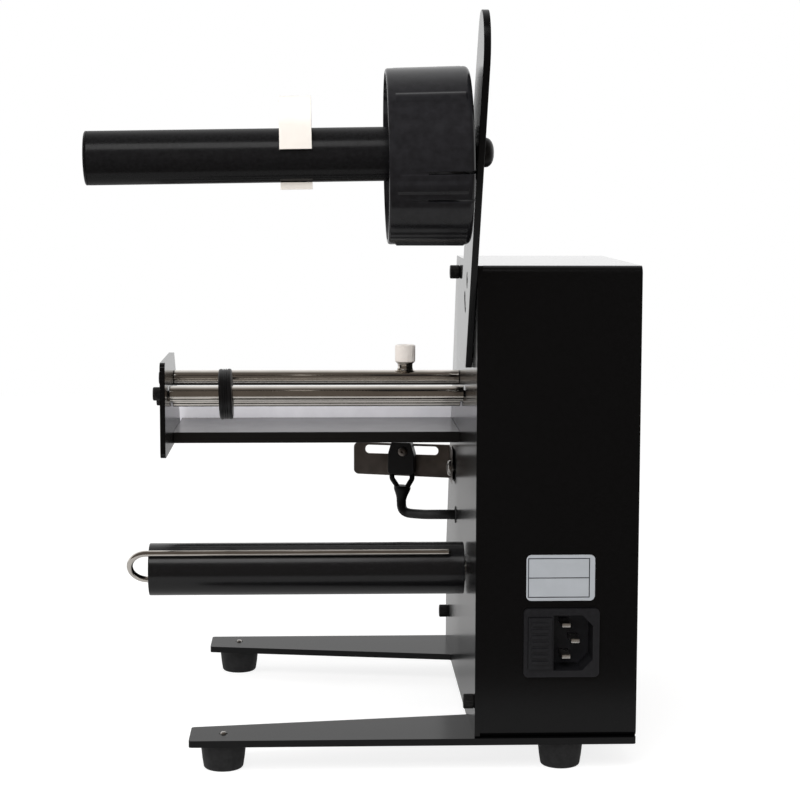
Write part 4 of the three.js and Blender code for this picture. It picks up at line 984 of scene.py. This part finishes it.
def cap_screw(node, height, shank):
    """A socket head cap screw along X, with its head, of the given height, on the low side."""
    place, length, head = lengthwise(node)
    socket, deep, chamfer, teeth = hexagon(3 * MM), 2.2 * MM, 0.35 * MM, 24
    grip = knurl(head, 0.16 * MM, teeth)
    profile = [
        (deep, 0),
        (deep, socket),
        (0, socket),
        (0, head - chamfer),
        (chamfer, grip),
        (height - chamfer, grip),
        (height, head - chamfer),
        (height, shank),
        (length, shank),
        (length, 0),
    ]
    mesh = spun(node, place, profile, teeth * 6)
    link(f"{node}_head", mesh, black_oxide(), "frame", [node], 0.08 * MM)


class DISPENSER_OT_screws(Operator):
    """Makes the cap screws and the arm's pivot"""

    bl_idname = "dispenser.screws"
    bl_label = "Screws"

    def execute(self, context):
        for place in ("upper_far", "lower_near", "lower_far"):
            cap_screw(f"panel_screw_{place}", 4.6 * MM, 1.9 * MM)
        for place in ("side_screw_bar", "side_screw_upper", "side_screw_lower"):
            cap_screw(place, 4.7 * MM, 1.5 * MM)
        for place in ("near", "far"):
            cap_screw(f"table_screw_{place}", 4.7 * MM, 1.5 * MM)
        self.pivot()
        dress("arm_stop_pin", black_oxide(), 0.1 * MM)
        return {"FINISHED"}

    def pivot(self):
        node = "arm_pivot_screw"
        place, length, _ = lengthwise(node)
        head, shank, cone = 4.0 * MM, 2.0 * MM, 2.1 * MM
        socket, deep = hexagon(2.6 * MM), 1.8 * MM
        profile = [
            (deep, 0),
            (deep, socket),
            (0, socket),
            (0, head - 0.1 * MM),
            (0.25 * MM, head),
            (cone, shank),
            (length, shank),
            (length, 0),
        ]
        mesh = spun(node, place, profile, 72)
        link(f"{node}_head", mesh, black_oxide(), "frame", [node], 0.05 * MM)


# Supply shaft, its end cap and bolt


shaft_axis = Vector(joint("roll_stop_slide")["axis"])
shaft_radius = 11.15 * MM


def shaft_place():
    """The shaft's frame: its origin on the axis at the arm's face, local x toward the cabinet."""
    centre = Vector(joint("roll_stop_slide")["pos_m"])
    arm_thickness = 3 * MM
    face = panel_corner.x - arm_thickness
    along = (face - centre.x) / shaft_axis.x
    return axis_frame(centre + shaft_axis * along, shaft_axis)


class DISPENSER_OT_supply_shaft(Operator):
    """Makes the supply shaft, the cap in its free end and the bolt on the arm's back"""

    bl_idname = "dispenser.supply_shaft"
    bl_label = "Supply shaft"

    def execute(self, context):
        place = shaft_place()
        length, wall, plug, bore = 159.4 * MM, 1.6 * MM, 16 * MM, 3.3 * MM
        seat = -0.3 * MM
        inner = shaft_radius - wall
        shaft = [
            (seat, bore),
            (seat, shaft_radius),
            (-length, shaft_radius),
            (-length, inner),
            (-plug, inner),
            (-plug, bore),
        ]
        mesh = spun("supply_shaft", place, shaft)
        link("supply_tube", mesh, shaft_coat(), "supply_arm", ["supply_shaft"], 0.3 * MM)
        flange, spigot, spigot_end = 1.2 * MM, inner - 0.15 * MM, -length + 8 * MM
        shoulder = -length - 0.08 * MM
        cap = [
            (spigot_end, 0),
            (spigot_end, spigot),
            (shoulder, spigot),
            (shoulder, shaft_radius),
            (-length - flange * 0.7, shaft_radius),
            (-length - flange * 0.93, shaft_radius - flange * 0.35),
            (-length - flange, shaft_radius - flange),
            (-length - flange, 0),
        ]
        mesh = spun("shaft_end_cap", place, cap)
        link("end_cap", mesh, moulded_plastic(), "supply_arm", ["shaft_end_cap"], 0.1 * MM)
        self.bolt(place)
        return {"FINISHED"}

    def bolt(self, place):
        start, radius, height = 3.3 * MM, 6.15 * MM, 4.7 * MM
        tip, shank, socket = -14 * MM, 3 * MM, hexagon(4 * MM)
        rim, deep, top = (start + height * share for share in (0.25, 0.45, 0.98))
        dome = [(rim + height * 0.75 * math.sin(a), radius * math.cos(a) ** 0.8) for a in quarter(9)[:7]]
        profile = [
            (tip, 0),
            (tip, shank),
            (start, shank),
            (start, radius - 0.1 * MM),
            *dome,
            (top, socket),
            (deep, socket),
            (deep, 0),
        ]
        node = "supply_bolt"
        mesh = spun(node, place, profile, 72)
        link("supply_bolt_head", mesh, black_oxide(), "supply_arm", [node], 0.06 * MM)


# Core hub


class DISPENSER_OT_core_hub(Operator):
    """Makes the ribbed hub with its three spring fingers"""

    bl_idname = "dispenser.core_hub"
    bl_label = "Core hub"

    def execute(self, context):
        hang = 1.2 * MM  # the play in the hub's bore lets it hang this low
        place = shaft_place() @ Matrix.Translation((0, 0, -hang))
        # Degrees up from the viewer's side
        first_rib, finger_half_angle = -21, 9.3
        right = -2.4 * MM
        left = right - 34.3 * MM
        wide, narrow, wall = 36.7 * MM, 36.15 * MM, 2.2 * MM
        inner = (wide + narrow) / 2 - wall
        web, web_thick = -21 * MM, 2.5 * MM
        boss, boss_right, boss_left = 16.4 * MM, -6 * MM, -34 * MM
        bore, round_edge, slot_width = 12.65 * MM, 2.2 * MM, 1.1 * MM
        rib_half_width, rib_height = 2.4 * MM, 0.8 * MM

        def outside(along):
            share = (along - left) / (right - left)
            return narrow + (wide - narrow) * share

        def ribbed(along, height):
            """The outer radius with six ribs, as a function of the angle."""
            plain = outside(along)
            half = math.degrees(rib_half_width / plain)

            def radius(angle):
                up = 180 - math.degrees(angle)
                off = abs((up - first_rib + 30) % 60 - 30)
                return plain + height * math.sqrt(max(0, 1 - (off / half) ** 2))

            return radius

        rib_left, rib_right = left + 3 * MM, right - round_edge - 0.3 * MM
        corner = [
            (right - round_edge * (1 - math.sin(a)), outside(right) - round_edge * (1 - math.cos(a)))
            for a in quarter(6)
        ]
        profile = [
            (left, outside(left) - 0.9 * MM),
            (left + 0.25 * MM, outside(left) - 0.3 * MM),
            (left + 0.9 * MM, outside(left)),
            (rib_left, outside(rib_left)),
            (rib_left + 0.6 * MM, ribbed(rib_left, rib_height)),
            (rib_right - 0.6 * MM, ribbed(rib_right, rib_height)),
            (rib_right, outside(rib_right)),
            *corner,
            (right, inner),
            (web, inner),
            (web, boss),
            (boss_right, boss),
            (boss_right, bore),
            (boss_left, bore),
            (boss_left, boss),
            (web - web_thick, boss),
            (web - web_thick, inner),
            (left, inner),
        ]
        body = spun("core_hub", place, profile, 360)
        cutters = []
        for finger in range(3):
            for side in (-finger_half_angle, finger_half_angle):
                up = first_rib + 120 * finger + side
                turn = Matrix.Rotation(math.radians(90 - up), 4, "X")
                slot = place @ turn @ Matrix.Translation((web, -slot_width / 2, inner - 2 * MM))
                cutters.append(prism("slot", slot, box_points(0, 0, 25 * MM, slot_width), 8 * MM))
        mesh = carved(body, cutters)
        link("core_hub_shell", mesh, hub_plastic(), "core_hub", ["core_hub"], 0.0)
        self.spokes(place, web, web_thick, boss, inner)
        return {"FINISHED"}

    def spokes(self, place, web, web_thick, boss, inner):
        """Six thin stiffening walls on the open side of the web."""
        tall, into_web, into_walls, thick = 9 * MM, 0.2 * MM, 0.3 * MM, 1.6 * MM
        corner = Matrix.Translation((web - web_thick - tall, -thick / 2, boss - into_walls))
        outline = box_points(0, 0, tall + into_web, thick)
        for i in range(6):
            turn = Matrix.Rotation(math.radians(80 - 60 * i), 4, "X")
            mesh = prism("spoke", place @ turn @ corner, outline, inner - boss + 2 * into_walls)
            link(f"hub_spoke_{i + 1}", mesh, hub_plastic(), "core_hub")


# Roll stop


class DISPENSER_OT_roll_stop(Operator):
    """Makes the bent spring strip that stops the roll"""

    bl_idname = "dispenser.roll_stop"
    bl_label = "Roll stop"

    def execute(self, context):
        from_arm, width, thick = 80.5 * MM, 13.2 * MM, 0.9 * MM
        inner = shaft_radius + 0.3 * MM
        outer = inner + thick
        loop_up = 24.3 * MM - outer
        lip_front, lip_drop, leg_bottom = 2.9 * MM, 14.1 * MM, 2.3 * MM
        lip_back = lip_front - thick

        def arc(centre_z, radius, start, end, steps=28):
            angles = (math.radians(start + (end - start) * k / steps) for k in range(steps + 1))
            return [(radius * math.cos(a), centre_z + radius * math.sin(a)) for a in angles]

        lip_angle = math.degrees(math.atan2(-math.sqrt(inner**2 - lip_front**2), -lip_front))
        points = [
            (-outer, leg_bottom),
            *arc(loop_up, outer, 180, 0),
            *arc(0, outer, 0, -90),
            (-lip_back, -outer),
            (-lip_back, -lip_drop),
            (-lip_front, -lip_drop),
            *arc(0, inner, lip_angle, 0),
            *arc(loop_up, inner, 0, 180),
            (-inner, leg_bottom),
        ]
        # The outline's axes lie across the shaft, and its depth runs along it
        across = Matrix(((0, 0, 1, 0), (1, 0, 0, 0), (0, 1, 0, 0), (0, 0, 0, 1)))
        node = "roll_stop_clip"
        mesh = prism(node, shaft_place() @ Matrix.Translation((-from_arm, 0, 0)) @ across, points, width)
        link("roll_stop_strip", mesh, spring_strip_painted_reflection(), "roll_stop", [node], 0.15 * MM)
        return {"FINISHED"}


# Rods, guide ring and thumb screw


class DISPENSER_OT_rods(Operator):
    """Makes the tie bar, the two rollers, the guide ring and the thumb screw"""

    bl_idname = "dispenser.rods"
    bl_label = "Chrome rods"

    def execute(self, context):
        radius, bore = 3.65 * MM, 1.8 * MM
        for node in ("upper_roller", "lower_roller"):
            place, length, _ = lengthwise(node)
            profile = [(0, bore), (0, radius), (length, radius), (length, bore)]
            self.rod(f"{node}_tube", node, place, profile, node)
        place, reach, _ = lengthwise("tie_bar")
        span, tapped, stud = 137 * MM, 11 * MM, 1.5 * MM
        profile = [
            (tapped, 0),
            (tapped, bore),
            (0, bore),
            (0, radius),
            (span, radius),
            (span, stud),
            (reach, stud),
            (reach, 0),
        ]
        self.rod("tie_bar_rod", "tie_bar", place, profile, "frame")
        self.ring()
        self.thumb_screw()
        return {"FINISHED"}

    def rod(self, name, node, place, profile, body):
        mesh = spun(name, place, profile, 48)
        link(name, mesh, chrome_plate(), body, [node], 0.35 * MM)

    def ring(self):
        node = "guide_ring"
        bottom, top = low(node), high(node)
        leaning = Vector((1, 0, 0.03))
        place = axis_frame(middle(node), leaning)
        half, radius, bore = (top.x - bottom.x) / 2, (top.z - bottom.z) / 2, 4.05 * MM
        edge, deep, groove_pitch = 0.7 * MM, 0.35 * MM, 1.0 * MM
        groove = ((-0.3 * MM, 0), (-0.15 * MM, deep), (0.15 * MM, deep), (0.3 * MM, 0))
        grooves = [(groove_pitch * k + along, radius - cut) for k in (-1, 0, 1) for along, cut in groove]
        profile = [
            (-half, bore),
            (-half, radius - edge),
            (-half + edge * 0.3, radius - edge * 0.3),
            (-half + edge, radius),
            *grooves,
            (half - edge, radius),
            (half - edge * 0.3, radius - edge * 0.3),
            (half, radius - edge),
            (half, bore),
        ]
        mesh = spun(node, place, profile)
        link("guide_ring_disc", mesh, moulded_plastic(), "guide_ring", [node], 0.0)

    def thumb_screw(self):
        node = "thumb_screw"
        place, length, _ = upright(node)
        radius, height = 4.85 * MM, 8.8 * MM
        thread, shoulder, shoulder_height = 1.5 * MM, 3.6 * MM, 3.1 * MM
        knob, neck = length - height, length - height - shoulder_height
        edge, dish = 0.5 * MM, length - 0.3 * MM
        bare = knob + 0.8 * MM
        grip = knurl(radius, 0.35 * MM, 30)
        stem = [
            (0, 0),
            (0, thread),
            (neck, thread),
            (neck, shoulder + 0.3 * MM),
            (neck + 0.9 * MM, shoulder),
            (knob - 0.3 * MM, shoulder),
            (knob, radius - 0.9 * MM),
            (bare, radius - 0.2 * MM),
            (bare, 0),
        ]
        mesh = spun("stem", place, stem, 60)
        link("thumb_screw_stem", mesh, chrome_plate(), "thumb_screw", [node], 0.0)
        profile = [
            (bare, 0),
            (bare, radius - 0.1 * MM),
            (bare + edge, grip),
            (length - edge, grip),
            (length, radius - edge),
            (length, radius * 0.55),
            (dish, radius * 0.5),
            (dish, 0),
        ]
        mesh = spun(node, place, profile, 180)
        link("thumb_screw_knob", mesh, knurled_nickel_painted_highlight(), "thumb_screw", edge=0.0)


# Sensor and its lead


class DISPENSER_OT_sensor(Operator):
    """Makes the sensor, its screws and its lead"""

    bl_idname = "dispenser.sensor"
    bl_label = "Sensor"

    def execute(self, context):
        slide = joint("sensor_slide")
        self.place = axis_frame(Vector(slide["pos_m"]), Vector(slide["axis"]))
        dress("sensor_body", moulded_plastic(), 0.4 * MM)
        head_front = self.place @ Vector((0, -8.15 * MM, 0))
        place = axis_frame(head_front, self.place.to_3x3() @ Y)
        self.pan_screw("sensor_screw", "sensor", place, 12.55 * MM, 2.4 * MM, 1.2 * MM, bracket_steel())
        place, length, _ = lengthwise("bracket_screw")
        self.pan_screw("bracket_screw", "frame", place, length, 4.0 * MM, 2.2 * MM, bright_steel())
        dress("sensor_nut", bright_steel(), 0.15 * MM)
        self.lead()
        self.grommet()
        return {"FINISHED"}

    def pan_screw(self, node, body, place, length, head, height, material):
        """A pan head screw; its head is at the start of the place's local x."""
        shank = 1.6 * MM
        dome = [(height * (1 - math.cos(a)) * 0.75, head * math.sin(a)) for a in quarter(7)[3:]]
        cross = head * 0.29
        profile = [
            (height * 0.6, 0),
            (height * 0.55, cross * 0.5),
            (0.02 * MM, cross),
            *dome,
            (height, head),
            (height, shank),
            (length, shank),
            (length, 0),
        ]
        mesh = spun(node, place, profile, 48)
        link(f"{node}_head", mesh, material, body, [node], 0.04 * MM)

    def lead(self):
        """The lead rides on no body. Its route is in millimetres from the panel's corner."""
        route = [
            (-25.6, 157, 80.5),
            (-25.6, 156.8, 79),
            (-25.5, 156.4, 77.3),
            (-24.9, 155.6, 75.6),
            (-23.5, 154.3, 74.5),
            (-21.4, 152.3, 74.2),
            (-18.6, 148, 74.6),
            (-14.5, 141.5, 75.4),
            (-10, 134, 76.6),
            (-6.3, 128.6, 77.5),
            (-3, 125.5, 78),
            (-1, 125, 78),
            (8.9, 125, 78),
        ]
        points = [panel_corner + Vector(p) * MM for p in route]
        jacket = tube("sensor_cable", smooth_route(points, 6), 2.4 * MM)
        mouth = panel_corner + Vector((-25.1, 157, 87.8)) * MM
        neck = panel_corner + Vector((-25.7, 157, 79.4)) * MM
        widths = (3.7, 4.3, 4.25, 4.0, 3.65, 3.3, 3.0, 2.75, 2.55, 2.45, 2.42)

        def flare(share):
            step = share * (len(widths) - 1)
            i = min(int(step), len(widths) - 2)
            return (widths[i] + (widths[i + 1] - widths[i]) * (step - i)) * MM

        sleeve = tube("sleeve", [mouth.lerp(neck, k / 20) for k in range(21)], flare, 32)
        forks = [self.fork(mouth, side) for side in (-1, 1)]
        mesh = carved(jacket, [sleeve, *forks], "UNION")
        lead = link("sensor_lead", mesh, cable_jacket(), None, ["sensor_cable"], 0.0)
        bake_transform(lead)

    def fork(self, mouth, side):
        """One of the two thin leads between the sensor's underside and the sleeve's mouth."""
        top = self.place @ (Vector((side * 5.2 - 1.05, -3.55, -12)) * MM)
        into = mouth + Vector((side * 1.7, 0, -2.2)) * MM
        shoulder = mouth + Vector((side * 3.3, 0, 0.7)) * MM
        knee = top.lerp(shoulder, 0.45) + Vector((side * 0.7, 0, 0)) * MM
        return tube("lead", smooth_route([top, knee, shoulder, into], 8), 1.3 * MM, 16)

    def grommet(self):
        node = "cable_grommet"
        place, length, radius = lengthwise(node)
        waist, bore, lip = 3.3 * MM, 2.5 * MM, 0.5 * MM
        profile = [
            (0.2 * MM, bore),
            (0, bore + 0.3 * MM),
            (0.04 * MM, radius - 0.4 * MM),
            (0.3 * MM, radius),
            (lip, radius),
            (lip, waist),
            (length - lip, waist),
            (length - lip, radius),
            (length, radius - 0.3 * MM),
            (length, bore),
        ]
        mesh = spun(node, place, profile, 48)
        link("lead_grommet", mesh, foot_rubber(), "frame", [node], 0.05 * MM)


# Take-up roller and wire clip


class DISPENSER_OT_take_up(Operator):
    """Makes the take-up roller, the bent wire clip and the drive shaft"""

    bl_idname = "dispenser.take_up"
    bl_label = "Take-up roller"

    def execute(self, context):
        node = "take_up_roller"
        place, length, radius = lengthwise(node)
        inner, bore, plug = 10 * MM, 3.3 * MM, 25 * MM
        profile = [
            (0, inner),
            (0, radius),
            (length, radius),
            (length, bore),
            (length - plug, bore),
            (length - plug, inner),
        ]
        mesh = spun(node, place, profile)
        link("take_up_tube", mesh, roller_coat(), "take_up", [node], 0.35 * MM)
        node = "drive_shaft"
        place, length, _ = lengthwise(node)
        round_radius, flat = 3 * MM, 0.5 * MM

        def keyed(angle):
            return min(round_radius, (round_radius - flat) / max(math.sin(angle), 1e-3))

        profile = [(0, 0), (0, keyed), (length, keyed), (length, 0)]
        mesh = spun(node, place, profile, 48)
        link("drive_shaft_pin", mesh, bright_steel(), "take_up", [node], 0.1 * MM)
        self.wire(middle("take_up_roller"))
        return {"FINISHED"}

    def wire(self, centre):
        """The clip's outer leg lies on the roller, its inner leg in the bore, joined by a round bend."""
        axis = Vector((0, centre.y, centre.z))
        wire = 1.4 * MM
        seat = 12 * MM + wire + 0.3 * MM  # the roller's radius, the wire's and the gap between them
        up = math.radians(42)
        outer = axis + Vector((0, -seat * math.cos(up), seat * math.sin(up)))
        inner = axis + Vector((0, -2 * MM, -4.3 * MM))
        radius = (outer - inner).length / 2
        mid = (outer + inner) / 2
        toward = (outer - inner).normalized()
        bend_at = panel_corner.x + wire + radius - 155.5 * MM
        right = panel_corner.x - 7.2 * MM
        deep = panel_corner.x - 38 * MM
        steps = 32
        bend = []
        for k in range(steps + 1):
            angle = math.pi * k / steps
            point = mid + toward * radius * math.cos(angle)
            point.x = bend_at - radius * math.sin(angle)
            bend.append(point)
        start, end = outer.copy(), inner.copy()
        start.x, end.x = right - wire, deep - wire
        route = [start, start.lerp(bend[0], 0.98), *bend, bend[-1].lerp(end, 0.02), end]
        mesh = tube("wire_clip", route, wire, 24, round_ends=5)
        link("wire_clip_wire", mesh, chrome_plate(), "wire_clip", ["wire_clip"], 0.0)


# Mains inlet and rating plate


class DISPENSER_OT_inlet(Operator):
    """Finishes the mains inlet and its pins, fuse drawer and fuse, and makes the blank rating plate"""

    bl_idname = "dispenser.inlet"
    bl_label = "Mains inlet"

    def execute(self, context):
        dress("inlet_body", inlet_plastic())
        for pin in ("upper", "lower", "earth"):
            dress(f"inlet_pin_{pin}", pin_nickel(), 0.5 * MM)
        dress("fuse_drawer", inlet_plastic())
        dress("fuse", fuse_glass(), 0.1 * MM)
        self.plate()
        return {"FINISHED"}

    def plate(self):
        node = "rating_plate"
        bottom, top = low(node), high(node)
        width, height, thick = top.x - bottom.x, top.z - bottom.z, top.y - bottom.y
        facing_out = Matrix.Rotation(math.radians(90), 4, "X")
        place = Matrix.Translation((bottom.x, top.y, bottom.z)) @ facing_out
        points = rounded_points(box_points(0, 0, width, height, 2.2 * MM), 8)
        mesh = prism(node, place, points, thick)
        link("rating_plate_foil", mesh, silver_label(), "frame", [node], 0.08 * MM)
        ink, line = 0.03 * MM, 0.4 * MM
        left, right, edge = 0.7 * MM, width - 2.3 * MM, 1.4 * MM
        lifted = place @ Matrix.Translation((0, 0, thick + ink / 2))
        below = lifted @ Matrix.Translation((0, 0, -ink))
        whole = prism("line", lifted, box_points(left, edge, right, height - edge), ink)
        window = box_points(left + line, edge + line, right - line, height - edge - line)
        mesh = carved(whole, [prism("line", below, window, 3 * ink)])
        link("rating_frame_line", mesh, label_ink(), "frame", edge=0)
        split = height * 0.49
        row = box_points(left + line, split, right - line, split + line)
        mesh = prism("row", lifted, row, ink)
        link("rating_middle_line", mesh, label_ink(), "frame", edge=0)


# Controls on the slanted front


class DISPENSER_OT_controls(Operator):
    """Finishes the power switch and makes the speed knob"""

    bl_idname = "dispenser.controls"
    bl_label = "Controls"

    def execute(self, context):
        dress("switch_body", moulded_plastic(), 0.35 * MM)
        dress("switch_rocker", hub_plastic(), 0.3 * MM)
        dress("speed_control", bright_steel(), 0.2 * MM)
        self.knob()
        return {"FINISHED"}

    def knob(self):
        node = "speed_knob"
        turn = joint("knob_turn")
        place = axis_frame(Vector(turn["pos_m"]), Vector(turn["axis"]), up=X)
        bottom, height = 0.8 * MM, 13 * MM
        top = bottom + height
        wide, slim = 8 * MM, 6.6 * MM
        skirt, stem = 3.9 * MM, 2.5 * MM
        stem_end, hollow_end = -5.7 * MM, 5.3 * MM
        profile = [
            (stem_end, 0),
            (stem_end, stem),
            (hollow_end, stem),
            (hollow_end, skirt),
            (bottom, skirt),
            (bottom, wide),
            (bottom + 1.6 * MM, wide),
            (bottom + 2.2 * MM, knurl(wide - 0.6 * MM, 0.35 * MM, 20)),
            (top - 1.2 * MM, knurl(slim, 0.35 * MM, 20)),
            (top - 0.4 * MM, slim - 0.7 * MM),
            (top, slim - 1.3 * MM),
            (top, 0),
        ]
        mesh = spun(node, place, profile, 160)
        link("speed_knob_cap", mesh, moulded_plastic(), "knob", [node], 0.0)
        on_top = Matrix(((0, 0, 1, 0), (0, 1, 0, 0), (1, 0, 0, 0), (0, 0, 0, 1)))
        start = place @ Matrix.Translation((top - 0.2 * MM, 0, 1.2 * MM)) @ on_top
        points = rounded_points(box_points(0, -0.4 * MM, 3.6 * MM, 0.4 * MM, 0.3 * MM), 4)
        mesh = prism("mark", start, points, 0.25 * MM)
        link("speed_knob_mark", mesh, silver_label(), "knob", edge=0)


# What the cabinet holds


class DISPENSER_OT_inside(Operator):
    """Finishes the gear motor, power supply and control board"""

    bl_idname = "dispenser.inside"
    bl_label = "Inside the cabinet"

    def execute(self, context):
        dress("gearbox", bright_steel(), 0.4 * MM)
        dress("motor", black_oxide(), 0.4 * MM)
        dress("power_supply", case_metal(), 0.4 * MM)
        dress("control_board", board_green(), 0.1 * MM)
        return {"FINISHED"}


class DISPENSER_PT_panel(Panel):
    bl_label = "Label dispenser"
    bl_idname = "DISPENSER_PT_panel"
    bl_space_type = "VIEW_3D"
    bl_region_type = "UI"
    bl_category = "Dispenser"

    def draw(self, context):
        for settings in (finish_of(), shape_of(), studio_of()):
            for name in settings.bl_rna.properties.keys():
                if name not in ("rna_type", "name"):
                    self.layout.prop(settings, name)
        for operator in OPERATORS:
            self.layout.operator(operator.bl_idname)


SETTINGS = {
    "dispenser_finish": FinishSettings,
    "dispenser_shape": ShapeSettings,
    "dispenser_studio": StudioSettings,
}
OPERATORS = (
    DISPENSER_OT_sheet_metal,
    DISPENSER_OT_feet,
    DISPENSER_OT_screws,
    DISPENSER_OT_supply_shaft,
    DISPENSER_OT_core_hub,
    DISPENSER_OT_roll_stop,
    DISPENSER_OT_rods,
    DISPENSER_OT_sensor,
    DISPENSER_OT_take_up,
    DISPENSER_OT_inlet,
    DISPENSER_OT_controls,
    DISPENSER_OT_inside,
    DISPENSER_OT_studio,
)


def register():
    for name, group in SETTINGS.items():
        bpy.utils.register_class(group)
        setattr(bpy.types.Scene, name, PointerProperty(type=group))
    for operator in OPERATORS:
        bpy.utils.register_class(operator)
    bpy.utils.register_class(DISPENSER_PT_panel)


def unregister():
    bpy.utils.unregister_class(DISPENSER_PT_panel)
    for operator in reversed(OPERATORS):
        bpy.utils.unregister_class(operator)
    for name, group in SETTINGS.items():
        delattr(bpy.types.Scene, name)
        bpy.utils.unregister_class(group)


def main():
    register()
    for operator in OPERATORS:
        group, name = operator.bl_idname.split(".")
        getattr(getattr(bpy.ops, group), name)()


if __name__ == "__main__":
    main()
